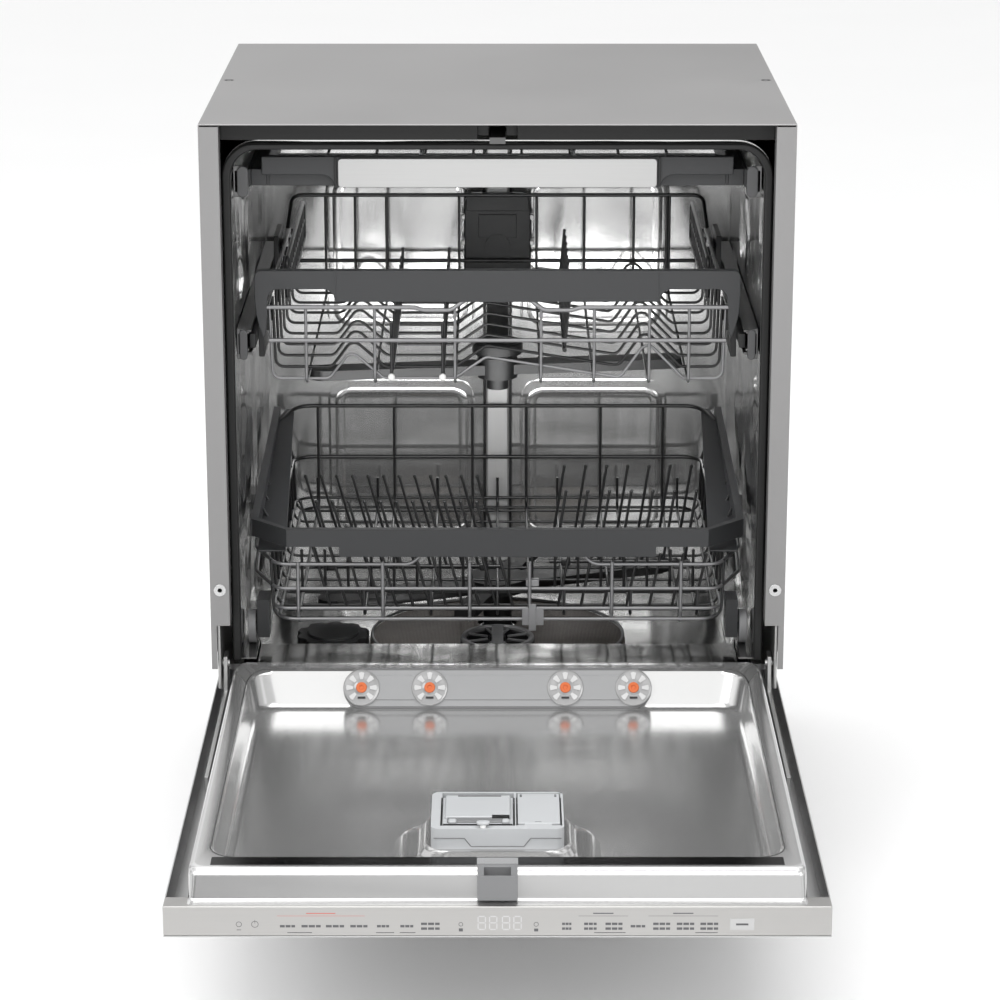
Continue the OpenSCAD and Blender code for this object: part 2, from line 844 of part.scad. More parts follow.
lower_z = track_z + 30;
lower_back = rack_back - 10;
lower_front = rack_front + 14;

module lower_rack_basket() {
    lower_front_tines();
    w = rack_w - 4;
    d = frame_wire;
    count = 9;
    pitch = (lower_back - lower_front - 4 * d) / (count - 1);
    top = lower_z + 66;
    low = lower_z + thin_wire / 2;
    color(wire_grey) {
        for (k = [0 : count - 1]) {
            y = lower_front + 2 * d + k * pitch;
            bent_wire([[-w, y, top], [-w, y, low], [w, y, low], [w, y, top]], thin_wire);
        }
        over = low + thin_wire + wire_gap;
        for (x = [-0.89, -0.515, -0.125, 0.144, 0.513, 0.822] * w)
            bent_wire([[x, lower_front, lower_z + 64], [x, lower_front, over], [x, lower_back, over],
                [x, lower_back, lower_z + 126]], thin_wire);
        for (x = [-0.7, -0.32, 0.01, 0.33, 0.67] * w)
            bar([x, lower_front, over], [x, lower_back, over], thin_wire);
        for (z = [3, 16, 38, 65])
            bar([-w, lower_front - 4.2, lower_z + z], [w, lower_front - 4.2, lower_z + z],
                z == 65 ? d : thin_wire);
        for (z = [64, 129])
            bar([-w, lower_back + 4.2, lower_z + z], [w, lower_back + 4.2, lower_z + z], d);
        both_sides() for (z = [30, 69])
            bar([w + 4.4, lower_front, lower_z + z], [w + 4.4, lower_back, lower_z + z], d);
    }
}

module lower_rack_handle() {
    lower_roller_brackets();
    mid_w = 167;
    end_w = 222 / 270 * tub_w;
    outer = tub_w - 8;
    y = rack_front;
    low = track_z + 118;
    high = track_z + 137;
    color(plastic) {
        difference() {
            union() {
                block([-end_w, y, low], [end_w, y + 8, high]);
                block([-mid_w, y, low - 11], [mid_w, y + 8, high]);
            }
            block([8 - mid_w, y + 3, low - 7], [mid_w - 8, y + 9, high - 5]);
        }
        both_sides() linear_extrude_at(low) polygon([
            [end_w - 0.1, y], [end_w - 0.1, y + 8], [outer - 8, y + 44], [outer, y + 40]]);
        both_sides() along_x(outer - 8, outer) polygon([
            [y + 39, low], [y + 39, high], [lower_back, high + 22], [lower_back, low + 22]]);
    }
}

module linear_extrude_at(z) {
    translate([0, 0, z]) linear_extrude(19) children();
}

module lower_roller_brackets() {
    plate_out = tub_w - 14;
    color(plastic) both_sides() for (y = wheel_y) {
        block([rack_w + 3.1, y - 16, wheel_z - 8], [plate_out, y + 16, wheel_z + 34]);
        translate([plate_out - 1, y, wheel_z]) rotate([0, 90, 0]) cylinder(h = 12, r = 4);
    }
}

wheel_z = track_z + wheel_r + 0.5;
wheel_y = [88, lower_back - 24];

module wheel_pair(y) {
    color(pale) both_sides() translate([tub_w - 12, y, wheel_z]) rotate([0, 90, 0]) difference() {
        cylinder(h = 8, r = wheel_r);
        translate([0, 0, -1]) cylinder(h = 10, r = 4 + run_gap);
        for (side = [-1, 7]) translate([0, 0, side]) difference() {
            cylinder(h = 2, r = wheel_r - 4);
            translate([0, 0, -1]) cylinder(h = 4, r = 8);
        }
    }
}

module lower_wheels_front() {
    wheel_pair(wheel_y[0]);
}

module lower_wheels_rear() {
    wheel_pair(wheel_y[1]);
}

fold_z = lower_z + 16;

// A row of upright tines on a bar that folds flat.
module tine_row(x0, x1, count, y, tip, lean) {
    pitch = (x1 - x0 - 12) / (count - 1);
    color(wire_grey) {
        bar([x0, y, fold_z], [x1, y, fold_z], frame_wire);
        for (k = [0 : count - 1])
            bar([x0 + 6 + k * pitch, y, fold_z + frame_wire / 2 + 0.7],
                [x0 + 6 + k * pitch + lean, y, fold_z + tip], thin_wire);
    }
}

left_row = [-0.85 * rack_w, 0.012 * rack_w];
right_row = [0.24 * rack_w, 0.9 * rack_w];
near_row_y = 84;
front_row_y = 210;
back_row_y = 310;
right_shift = 18;
left_lean = -20;
right_lean = 12;

module lower_tines_left_back() {
    tine_row(left_row[0], left_row[1], 12, back_row_y, 76, left_lean);
}

module lower_tines_left_front() {
    tine_row(left_row[0], left_row[1], 12, front_row_y, 76, left_lean);
}

module lower_tines_right_back() {
    tine_row(right_row[0], right_row[1], 7, back_row_y + right_shift, 83, right_lean);
}

module lower_tines_right_front() {
    tine_row(right_row[0], right_row[1], 7, front_row_y + right_shift, 83, right_lean);
}

module lower_front_tines() {
    count = 18;
    pitch = 2 * (rack_w - 30) / (count - 1);
    color(wire_grey) {
        bar([-rack_w + 20, 116, fold_z], [rack_w - 20, 116, fold_z], frame_wire);
        for (k = [0 : count - 1])
            bar([30 - rack_w + k * pitch, 116, fold_z + frame_wire / 2 + wire_gap],
                [30 - rack_w + k * pitch, 116, fold_z + 46], thin_wire);
    }
    tine_row(left_row[0], left_row[1], 12, near_row_y, 66, left_lean);
    tine_row(right_row[0], right_row[1], 7, near_row_y, 66, right_lean);
}

// ---- door, drawn open ----

module door_outer_panel() {
    t = 1;
    w = door_w;
    color(steel) difference() {
        block([-w, door_front, door_bottom], [w, door_rear, door_top]);
        block([t + 0.2 - w, door_front + 22, door_bottom + t], [w - t - 0.2, door_rear - t, door_top + 1]);
        block([-w - 1, door_front - 1, door_bottom + t], [w + 1, door_front + 22.1, door_top + 1]);
        for (x = [-1, 1], y = panel_fix_y)
            translate([x * panel_fix_x, y, door_bottom - 1]) cylinder(h = 5, r = 2);
    }
}

panel_fix_x = half_w - 64;
panel_fix_y = [door_front + 120, door_front + 420];

module control_panel() {
    key_row();
    w = door_w;
    color(silver) difference() {
        block([-w, door_front, door_bottom + 1.05], [w, door_front + 3, door_top]);
        for (k = [0 : 6])
            block([key_x(k) - 6, door_front - 1, door_bottom + 12],
                [key_x(k) + 6, door_front + 0.6, door_bottom + 18]);
    }
    color(silver) both_sides()
        block([w - 1.2, door_front + 3, door_bottom + 1.05], [w, door_front + 21.9, door_top]);
}

function key_x(k) = (k - 3) * 24 - 110;

module key_row() {
    pad = 5;
    color(dark) for (k = [0 : 6])
        block([key_x(k) - pad, door_front + 0.1, door_bottom + 12.6],
            [key_x(k) + pad, door_front + 0.55, door_bottom + 17.4]);
}

module inner_door() {
    t = 1;
    w = liner_w;
    rail_in = tub_w - 11;
    start_y = door_front + 4;
    wall_y = door_front + 13;
    rim_y = door_front + 50;
    apron_w = tub_w - 20;
    door_screws();
    color(steel) difference() {
        union() {
            difference() {
                along_x(-w, w) polygon([
                    [start_y, pan_z - t], [start_y, pan_z], [wall_y, pan_z], [wall_y + 7, rim_z - 6],
                    [wall_y + 12, rim_z], [10, rim_z], [10, pan_z - t]]);
                along_x(-rail_in, rail_in) polygon([
                    [rim_y, rim_z + 1], [rim_y, rim_z], [rim_y + 10, pan_z], [11, pan_z], [11, rim_z + 1]]);
            }
            along_x(-apron_w, apron_w) polygon([
                [apron_y - 18, pan_z - 0.5], [apron_y, rim_z + 7], [apron_y + 8, rim_z + 7],
                [9.8, rim_z - 6], [9.8, pan_z - 0.5]]);
        }
        along_x(t - w, w - t) polygon([
            [wall_y + 1.2, pan_z - 2], [wall_y + 8.2, rim_z - 6.6], [wall_y + 12.6, rim_z - t],
            [rim_y - 1.2, rim_z - t], [rim_y + 8.6, pan_z - 2]]);
        both_sides() block([rail_in + t, rim_y - 5, pan_z - 2], [w - t, 9, rim_z - t]);
        along_x(t - apron_w, apron_w - t) polygon([
            [apron_y - 16.6, pan_z - 2], [apron_y + 1, rim_z + 6], [apron_y + 7, rim_z + 6],
            [8.8, rim_z - 7], [8.8, pan_z - 2]]);
        block([-18, start_y - 1, rim_z - 24], [18, wall_y + 19, rim_z + 1]);
        block([-60.9, disp_y - 45.4, pan_z - 3], [60.9, disp_y + 45.4, pan_z + 1]);
    }
}

apron_y = -22;
steam_w = 160;
disp_y = door_front + 113.5;

module door_striker() {
    wall = 3;
    y0 = door_front + 4.5;
    y1 = door_front + 31.9;
    color(black) difference() {
        block([-17.9, y0, rim_z - 23.9], [17.9, y1, rim_z - 0.1]);
        block([-12, y0 + 1.2, rim_z - 22.5], [12, y1 - 6, rim_z + 1]);
    }
}

module steam_bar() {
    slope = atan2(rim_z + 7 - pan_z, 18);
    color([0.77, 0.77, 0.78]) translate([0, apron_y - 18, pan_z]) rotate([slope, 0, 0]) difference() {
        translate([0, 19, 0.15]) linear_extrude(4) rounded(2 * steam_w, 36, 17.9);
        for (x = nozzle_x) translate([x, 19, -1]) cylinder(h = 8, r = nozzle_r + 0.1);
    }
}

nozzle_x = [-141, -70.3, 70.3, 141];
nozzle_r = 16;

module steam_nozzles() {
    nozzle_jets();
    slope = atan2(rim_z + 7 - pan_z, 18);
    color([0.55, 0.55, 0.56]) translate([0, apron_y - 18, pan_z]) rotate([slope, 0, 0])
        for (x = nozzle_x) translate([x, 19, 0.15]) difference() {
            cylinder(h = 6.5, r = nozzle_r);
            translate([0, 0, 3]) cylinder(h = 8, r = 5.5);
        }
}

module nozzle_jets() {
    slope = atan2(rim_z + 7 - pan_z, 18);
    color(orange) translate([0, apron_y - 18, pan_z]) rotate([slope, 0, 0])
        for (x = nozzle_x) translate([x, 19, 3.2]) difference() {
            cylinder(h = 2.6, r = 5.4);
            translate([0, 0, 1]) cylinder(h = 3, r = 1.6);
        }
}

disp_top = pan_z + 46;

module dispenser_body() {
    color(pale) difference() {
        union() {
            translate([0, disp_y, pan_z - 24]) round_plate(121, 90, disp_top - pan_z + 24, 8);
        }
        block([-51, disp_y - lid_half - 0.4, disp_top - 22], [15, disp_y + 38, disp_top + 1]);
        block([17.5, disp_y - lid_half - 0.4, disp_top - 22], [58, disp_y + 38, disp_top + 1]);
        block([-51.1, disp_y + 37, disp_top - 9], [15.1, disp_y + 42.1, disp_top + 1]);
        block([17.4, disp_y + 37, disp_top - 9], [58.1, disp_y + 42.1, disp_top + 1]);
        translate([-13, disp_y - 40.7, disp_top - 7]) cylinder(h = 9, r = button_r + run_gap);
    }
}

lid_half = 35.6;
button_r = 2.8;

module hinged_lid(x0, x1) {
    color(pale) {
        block([x0, disp_y - lid_half, disp_top - 3.6], [x1, disp_y + 37.6, disp_top]);
        translate([x0, lid_y, lid_z]) rotate([0, 90, 0]) cylinder(h = x1 - x0, r = 2.4);
        block([x0, disp_y + 37.5, disp_top - 3.6], [x1, lid_y, disp_top - 1]);
    }
}

lid_y = disp_y + 39.6;
lid_z = disp_top - 2.6;

module detergent_lid() {
    hinged_lid(-50.6, 14.6);
    color(pale) translate([0, 0, disp_top - 0.05]) linear_extrude(1.6)
        translate([-18, disp_y]) rounded(46, 60, 8);
}

module rinse_lid() {
    hinged_lid(17.9, 57.6);
}

module dispenser_button() {
    color(white) translate([-13, disp_y - 40.7, disp_top - 4]) cylinder(h = 7.4, r = button_r);
}

module hinge_arms() {
    inner = half_w - 15;
    outer = half_w - 11;
    color(grey_steel) both_sides() difference() {
        along_x(inner, outer) polygon([
            [door_front + 320, door_bottom + 3], [door_rear - 12, door_bottom + 3], [door_rear - 12, pan_z - 2],
            [hinge_y + 16, pan_z], [hinge_y + 10, hinge_z + 10], [hinge_y - 10, hinge_z + 10],
            [hinge_y - 16, pan_z], [door_front + 320, pan_z - 3]]);
        translate([inner - 1, hinge_y, hinge_z]) rotate([0, 90, 0]) cylinder(h = 8, r = pin_r + run_gap);
    }
}

module door_screws() {
    trim_in = half_w - 10.5;
    trim_out = half_w - 3;
    color(black) both_sides()
        block([trim_in, door_front + 23, pan_z - 3], [trim_out, -55, pan_z - 1]);
    color(steel) both_sides()
        for (y = [door_front + 30, door_front + 110, door_front + 260, door_front + 400, -70])
            translate([half_w - 6.7, y, pan_z - 2]) cylinder(h = 2, r = 3.2);
}

// ---- what is drawn ----

top_panel();
side_panel_left();
side_panel_right();
front_beam();
latch_housing();
latch_hook();
rear_panel();
base_tray();
levelling_feet();
hinge_brackets();
door_springs();
side_fixing_bushes();
tub_wrapper();
tub_back();
tub_floor();
door_gasket();
roller_guides();
sump();
filter_plate();
filter_cylinder();
salt_cap();
softener_tank();
circulation_pump();
pump_impeller();
drain_pump();
inlet_valve();
feed_pipe();
ceiling_sprayer();
lower_spray_arm();
cutlery_tray();
cutlery_handle();
cutlery_handle_plate();
upper_rails();
upper_carriers();
upper_rack_basket();
upper_rack_handle();
upper_tines();
cup_shelf_left();
cup_shelf_right();
upper_spray_pipe();
upper_spray_arm();
lower_rack_basket();
lower_rack_handle();
lower_wheels_front();
lower_wheels_rear();
lower_tines_left_back();
lower_tines_left_front();
lower_tines_right_back();
lower_tines_right_front();
door_outer_panel();
inner_door();
control_panel();
door_striker();
steam_bar();
steam_nozzles();
dispenser_body();
detergent_lid();
rinse_lid();
dispenser_button();
hinge_arms();
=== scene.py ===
import math

import bmesh
import bpy
from mathutils import Matrix, Vector


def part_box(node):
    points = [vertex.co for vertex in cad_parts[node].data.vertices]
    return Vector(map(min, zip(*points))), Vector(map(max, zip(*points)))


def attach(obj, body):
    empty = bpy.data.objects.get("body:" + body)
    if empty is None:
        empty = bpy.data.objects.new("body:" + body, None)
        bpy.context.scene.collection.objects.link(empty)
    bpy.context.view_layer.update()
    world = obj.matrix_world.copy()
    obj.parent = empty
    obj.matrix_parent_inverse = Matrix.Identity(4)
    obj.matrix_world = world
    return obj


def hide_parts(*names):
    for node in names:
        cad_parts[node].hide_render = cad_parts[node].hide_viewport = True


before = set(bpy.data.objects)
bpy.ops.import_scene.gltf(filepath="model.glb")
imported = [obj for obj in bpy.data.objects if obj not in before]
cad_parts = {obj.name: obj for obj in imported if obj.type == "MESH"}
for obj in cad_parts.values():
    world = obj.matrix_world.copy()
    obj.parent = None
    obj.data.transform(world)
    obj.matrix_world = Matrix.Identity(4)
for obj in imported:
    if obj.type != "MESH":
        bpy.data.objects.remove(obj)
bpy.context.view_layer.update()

mm = 0.001
quarterTurn = Matrix.Rotation(math.radians(90), 4, "X")  # stands a flat shape upright


def say(text):
    print("scene:", text)


# a shader socket that reads like a number
class Field:
    def __init__(self, tree, socket):
        self.tree = tree
        self.socket = socket

    def node(self, kind, settings=None, inputs=None, output=0):
        # any node: settings first, then the values or links of its sockets
        made = self.tree.nodes.new(kind)
        for key, value in (settings or {}).items():
            if key == "stops":
                ramp = made.color_ramp.elements
                while len(ramp) < len(value):
                    ramp.new(0.5)
                for stop, (place, shade) in zip(ramp, value):
                    stop.position = place
                    stop.color = (*shade, 1) if len(shade) == 3 else shade
            else:
                setattr(made, key, value)
        for key, value in (inputs or {}).items():
            if isinstance(value, Field):
                self.tree.links.new(value.socket, made.inputs[key])
            elif value is not None:
                made.inputs[key].default_value = value
        return Field(self.tree, made.outputs[output])

    def math(self, operation, *others):
        return self.node("ShaderNodeMath", {"operation": operation}, dict(enumerate((self, *others))))

    def __add__(self, other):
        return self.math("ADD", other)

    __radd__ = __add__

    def __mul__(self, other):
        return self.math("MULTIPLY", other)

    __rmul__ = __mul__

    def __sub__(self, other):
        return self.math("SUBTRACT", other)

    def __rsub__(self, other):
        return self.node("ShaderNodeMath", {"operation": "SUBTRACT"}, {0: other, 1: self})

    def clamp(self):
        return self.node("ShaderNodeClamp", None, {"Value": self})

    def tint(self, dark, light):
        # a colour between two, by this field
        return self.node("ShaderNodeMix", {"data_type": "RGBA"}, {0: self, 6: (*dark, 1), 7: (*light, 1)}, 2)

    def bump(self, strength, distance):
        return self.node("ShaderNodeBump", None, {"Height": self, "Strength": strength, "Distance": distance})


class Finish:
    # one procedural material with its Principled shader
    def __init__(self, name, metallic=0.0, roughness=0.4, coat=0.0, coatRoughness=0.1, specular=0.5,
                 anisotropic=0.0):
        self.material = bpy.data.materials.new(name)
        self.material.use_nodes = True
        self.tree = self.material.node_tree
        self.shader = self.tree.nodes["Principled BSDF"]
        self.set("Metallic", metallic)
        self.set("Roughness", roughness)
        self.set("Coat Weight", coat)
        self.set("Coat Roughness", coatRoughness)
        self.set("Specular IOR Level", specular)
        self.set("Anisotropic", anisotropic)
        start = self.tree.nodes.new("ShaderNodeTexCoord")
        self.place = Field(self.tree, start.outputs["Object"])

    def set(self, key, value):
        if isinstance(value, Field):
            self.tree.links.new(value.socket, self.shader.inputs[key])
        else:
            self.shader.inputs[key].default_value = value

    def stretched(self, scale):
        # object coordinates stretched along an axis, for brush lines
        return self.place.node("ShaderNodeMapping", None, {"Vector": self.place, "Scale": scale})

    def noise(self, scale, detail=3.0, rough=0.5, stretch=None):
        where = self.stretched(stretch) if stretch else self.place
        return self.place.node("ShaderNodeTexNoise", None,
                               {"Vector": where, "Scale": scale, "Detail": detail, "Roughness": rough})


def brushedSteel(name, dark, light, roughness, spread, along, grain=0.35, wave=0.0, metallic=1.0):
    # rolled and brushed sheet: fine lines along one axis, with slow ripples that bend reflections
    finish = Finish(name, metallic=metallic, roughness=roughness)
    lines = finish.noise(900, 4, 0.6, along)
    clouds = finish.noise(5, 3, 0.5)
    finish.set("Base Color", (lines * 0.5 + clouds * 0.5).tint(dark, light))
    finish.set("Roughness", (lines * spread + clouds * (spread * 0.7) + (roughness - spread * 0.8)).clamp())
    ripple = finish.noise(7, 2, 0.4)
    height = lines * (grain * 0.02) + ripple * wave
    finish.set("Normal", height.bump(0.5, 0.004))
    return finish.material


def paintedSheet(name, dark, light, roughness, coat=0.15, peel=0.05):
    # coated steel with faint orange peel and slightly uneven gloss
    finish = Finish(name, metallic=0.35, roughness=roughness, coat=coat, coatRoughness=0.25)
    clouds = finish.noise(3.5, 4, 0.55)
    speck = finish.noise(600, 2, 0.5)
    finish.set("Base Color", (clouds * 0.75 + speck * 0.25).tint(dark, light))
    finish.set("Roughness", (clouds * 0.14 + speck * 0.05 + (roughness - 0.1)).clamp())
    finish.set("Normal", (speck * peel + finish.noise(140, 2, 0.5) * peel).bump(0.25, 0.0006))
    return finish.material


def mouldedPlastic(name, dark, light, roughness, grain=0.4, scale=1500, coat=0.0):
    # spark-eroded mould grain with slow colour drift
    finish = Finish(name, roughness=roughness, coat=coat, specular=0.45)
    drift = finish.noise(11, 3, 0.5)
    fine = finish.noise(scale, 2, 0.6)
    pits = finish.place.node("ShaderNodeTexVoronoi", {"feature": "F1"},
                             {"Vector": finish.place, "Scale": scale * 0.6})
    finish.set("Base Color", (drift * 0.7 + fine * 0.3).tint(dark, light))
    finish.set("Roughness", (drift * 0.12 + fine * 0.1 + (roughness - 0.11)).clamp())
    finish.set("Normal", (fine * 0.6 + pits * 0.4).bump(grain, 0.0003))
    return finish.material


def coatedWire(name, dark, light):
    # nylon powder coat: smooth, slightly lumpy, soft gloss
    finish = Finish(name, roughness=0.33, coat=0.25, coatRoughness=0.2)
    lumps = finish.noise(260, 3, 0.5)
    drift = finish.noise(14, 2, 0.5)
    finish.set("Base Color", (drift * 0.6 + lumps * 0.4).tint(dark, light))
    finish.set("Roughness", (lumps * 0.16 + drift * 0.1 + 0.2).clamp())
    finish.set("Normal", lumps.bump(0.3, 0.0004))
    return finish.material


def softRubber(name, dark, light):
    finish = Finish(name, roughness=0.55, specular=0.35)
    drift = finish.noise(30, 3, 0.6)
    finish.set("Base Color", drift.tint(dark, light))
    finish.set("Roughness", (drift * 0.2 + 0.42).clamp())
    finish.set("Normal", finish.noise(900, 2, 0.5).bump(0.3, 0.0003))
    return finish.material


def fineMesh(name):
    # etched filter sheet: rows of tiny holes with a stained tone between them
    finish = Finish(name, metallic=0.9, roughness=0.42)
    cells = finish.place.node("ShaderNodeTexVoronoi", {"feature": "F1"},
                              {"Vector": finish.stretched((1, 1, 0)), "Scale": 650.0, "Randomness": 0.08})
    holes = (cells - 0.28).math("MULTIPLY", 6.0).clamp()
    stain = finish.noise(26, 4, 0.6)
    finish.set("Base Color", (holes * (stain * 0.5 + 0.5)).tint((0.02, 0.017, 0.015), (0.17, 0.145, 0.125)))
    finish.set("Roughness", (stain * 0.3 + 0.28).clamp())
    finish.set("Normal", holes.bump(0.5, 0.0004))
    return finish.material


def clearPlastic(name, dark, light):
    finish = Finish(name, roughness=0.12, coat=0.6, coatRoughness=0.05)
    drift = finish.noise(40, 3, 0.5)
    finish.set("Base Color", drift.tint(dark, light))
    finish.set("Roughness", (drift * 0.08 + 0.06).clamp())
    finish.set("Normal", finish.noise(300, 2, 0.5).bump(0.08, 0.0003))
    return finish.material


say("materials")
acrossX = (0.012, 1, 1)
alongY = (1, 0.012, 1)
upZ = (1, 1, 0.012)
finishes = {
    "topSheet": paintedSheet("topSheet", (0.27, 0.266, 0.266), (0.33, 0.326, 0.326), 0.38, 0.2, 0.02),
    "sideSheet": paintedSheet("sideSheet", (0.225, 0.222, 0.222), (0.265, 0.262, 0.262), 0.45),
    "darkSheet": paintedSheet("darkSheet", (0.004, 0.004, 0.004), (0.007, 0.007, 0.007), 0.5, 0.02),
    "zinc": brushedSteel("zincPlate", (0.42, 0.42, 0.42), (0.6, 0.6, 0.59), 0.38, 0.2, (1, 1, 1)),
    "tubSteel": brushedSteel("tubSteel", (0.29, 0.29, 0.287), (0.40, 0.40, 0.395), 0.10, 0.07, upZ, 0.2, 6.0),
    "backSteel": brushedSteel("backSteel", (0.56, 0.56, 0.56), (0.70, 0.70, 0.695), 0.15, 0.08, upZ, 0.2,
                              1.6, 0.84),
    "floorSteel": brushedSteel("floorSteel", (0.36, 0.36, 0.355), (0.48, 0.48, 0.475), 0.13, 0.08, alongY,
                               0.2, 2.2),
    "linerSteel": brushedSteel("linerSteel", (0.56, 0.56, 0.56), (0.64, 0.64, 0.635), 0.17, 0.05, alongY,
                               0.2, 0.18, 0.84),
    "pipeSteel": brushedSteel("pipeSteel", (0.55, 0.55, 0.55), (0.66, 0.66, 0.655), 0.42, 0.1, upZ, 0.3,
                              0.2, 0.8),
    "darkSteel": brushedSteel("darkSteel", (0.10, 0.10, 0.10), (0.17, 0.17, 0.17), 0.36, 0.15, alongY, 0.3,
                              0.4),
    "doorSteel": brushedSteel("doorSteel", (0.5, 0.5, 0.5), (0.62, 0.62, 0.62), 0.32, 0.12, acrossX),
    "stripSteel": brushedSteel("stripSteel", (0.40, 0.394, 0.386), (0.47, 0.463, 0.453), 0.44, 0.1, acrossX,
                               0.3),
    "gripSteel": brushedSteel("gripSteel", (0.33, 0.33, 0.33), (0.43, 0.43, 0.426), 0.38, 0.12, acrossX, 0.4),
    "screwSteel": brushedSteel("screwSteel", (0.45, 0.45, 0.45), (0.7, 0.7, 0.7), 0.25, 0.15, (1, 1, 1)),
    # one nylon wire coat in lit and shaded copies, as painted light: the darkest for wires deep in the racks,
    # a slightly lighter one for the upper rack, and a light grey metallic one for the front wires nearest the
    # lamps
    "wire": coatedWire("wireCoat", (0.007, 0.0072, 0.0075), (0.012, 0.0122, 0.0126)),
    "paintedLighterWire": coatedWire("paintedLighterWireCoat", (0.008, 0.0082, 0.0085), (0.014, 0.0143, 0.0147)),
    "paintedLitWire": brushedSteel("paintedLitWire", (0.20, 0.20, 0.205), (0.30, 0.30, 0.305), 0.36, 0.12,
                               (1, 1, 1), 0.2, 0.0, 0.75),
    # painted reflection and shade: a dark copy of polished steel for the liner rim's front face and the
    # groove round the rim
    "darkReflectionSteel": brushedSteel("darkReflectionSteel", (0.035, 0.035, 0.035), (0.07, 0.07, 0.07), 0.2, 0.08, acrossX,
                              0.2, 0.8),
    "grip": mouldedPlastic("gripPlastic", (0.028, 0.029, 0.0305), (0.037, 0.038, 0.040), 0.46),
    "darkPlastic": mouldedPlastic("darkPlastic", (0.007, 0.0073, 0.0076), (0.012, 0.0124, 0.0128), 0.42),
    "blackPlastic": mouldedPlastic("blackPlastic", (0.004, 0.004, 0.0042), (0.007, 0.007, 0.0073), 0.42),
    "palePlastic": mouldedPlastic("palePlastic", (0.30, 0.305, 0.31), (0.38, 0.385, 0.39), 0.4),
    "whitePlastic": mouldedPlastic("whitePlastic", (0.72, 0.72, 0.71), (0.82, 0.82, 0.81), 0.38),
    "dispenser": mouldedPlastic("dispenserPlastic", (0.38, 0.39, 0.40), (0.45, 0.46, 0.47), 0.36, 0.25),
    "midPlastic": mouldedPlastic("midPlastic", (0.14, 0.142, 0.145), (0.19, 0.192, 0.196), 0.4),
    "steamBar": mouldedPlastic("steamBarPlastic", (0.24, 0.242, 0.245), (0.30, 0.302, 0.305), 0.34, 0.2),
    "greyPlastic": mouldedPlastic("greyPlastic", (0.19, 0.19, 0.195), (0.25, 0.25, 0.255), 0.42),
    "capPlastic": mouldedPlastic("capPlastic", (0.06, 0.06, 0.062), (0.085, 0.085, 0.088), 0.42),
    "rimPlastic": mouldedPlastic("rimPlastic", (0.10, 0.10, 0.102), (0.14, 0.14, 0.142), 0.36),
    "keyPlastic": mouldedPlastic("keyPlastic", (0.40, 0.40, 0.40), (0.46, 0.46, 0.46), 0.4, 0.1),
    "steamDisc": clearPlastic("steamDisc", (0.24, 0.24, 0.24), (0.32, 0.32, 0.32)),
    "petal": clearPlastic("petal", (0.44, 0.44, 0.44), (0.55, 0.55, 0.55)),
    "orange": mouldedPlastic("orangePlastic", (0.50, 0.095, 0.015), (0.60, 0.13, 0.025), 0.35, 0.2),
    "seal": softRubber("sealRubber", (0.008, 0.008, 0.008), (0.018, 0.018, 0.018)),
    "filterMesh": fineMesh("filterMesh"),
    "ink": mouldedPlastic("printedInk", (0.07, 0.07, 0.075), (0.11, 0.11, 0.115), 0.5, 0.05),
    "redInk": mouldedPlastic("redInk", (0.45, 0.10, 0.08), (0.55, 0.14, 0.1), 0.5, 0.05),
    "ghost": mouldedPlastic("ghostDigits", (0.46, 0.46, 0.465), (0.54, 0.54, 0.545), 0.4, 0.05),
}


def point(x, y, z):
    # millimetres to a place in the frame
    return Vector((x * mm, y * mm, z * mm))


def boxMm(node):
    # the two corners of a CAD node, in millimetres
    low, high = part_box(node)
    return [v / mm for v in low], [v / mm for v in high]


def loop(points):
    return points + [points[0]]


def asMesh(name, shape):
    # a BMesh becomes a mesh, and a mesh is passed on
    if not isinstance(shape, bmesh.types.BMesh):
        return shape
    mesh = bpy.data.meshes.new(name)
    shape.to_mesh(mesh)
    shape.free()
    return mesh


def addPiece(name, mesh, body, finish, replaced=(), smooth=35):
    # a finished mesh becomes a piece that rides on a body
    mesh = asMesh(name, mesh)
    mesh.materials.clear()
    mesh.materials.append(finishes[finish])
    mesh.shade_smooth()
    mesh.set_sharp_from_angle(angle=math.radians(smooth))
    if smooth < 60:
        # large flat faces keep flat shading right up to their rounded edges
        shaded = temporary(name, mesh)
        weigh = shaded.modifiers.new("weigh", "WEIGHTED_NORMAL")
        weigh.keep_sharp = True
        mesh = evaluated(shaded)
        mesh.name = name
    piece = bpy.data.objects.new(name, mesh)
    bpy.context.scene.collection.objects.link(piece)
    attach(piece, body)
    if replaced:
        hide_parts(*replaced)


def evaluated(obj):
    # the mesh that an object's modifiers give, with the object taken away again
    depsgraph = bpy.context.evaluated_depsgraph_get()
    mesh = bpy.data.meshes.new_from_object(obj.evaluated_get(depsgraph), depsgraph=depsgraph)
    bpy.data.objects.remove(obj)
    return mesh


def temporary(name, shape):
    # an object that only lives until its modifiers are applied
    obj = bpy.data.objects.new(name, asMesh(name, shape))
    bpy.context.scene.collection.objects.link(obj)
    return obj


def bevelled(mesh, width, segments=2, angle=30):
    obj = temporary("bevelled", mesh)
    edge = obj.modifiers.new("edge", "BEVEL")
    edge.width = width
    edge.segments = segments
    edge.limit_method = "ANGLE"
    edge.angle_limit = math.radians(angle)
    edge.harden_normals = False
    return evaluated(obj)


def drilled(name, shape, tool, solver=None, wall=0):
    # the shape, given a wall if it is a sheet, with the tool taken out of it
    obj = temporary(name, shape)
    if wall:
        thick = obj.modifiers.new("wall", "SOLIDIFY")
        thick.thickness = wall
        thick.offset = -1
    cutter = temporary(name + "Cutter", tool)
    hole = obj.modifiers.new("hole", "BOOLEAN")
    hole.operation = "DIFFERENCE"
    hole.object = cutter
    if solver:
        hole.solver = solver
    mesh = evaluated(obj)
    bpy.data.objects.remove(cutter)
    return mesh


def joined(shapes):
    bm = bmesh.new()
    for shape in shapes:
        bm.from_mesh(asMesh("part", shape))
    return bm


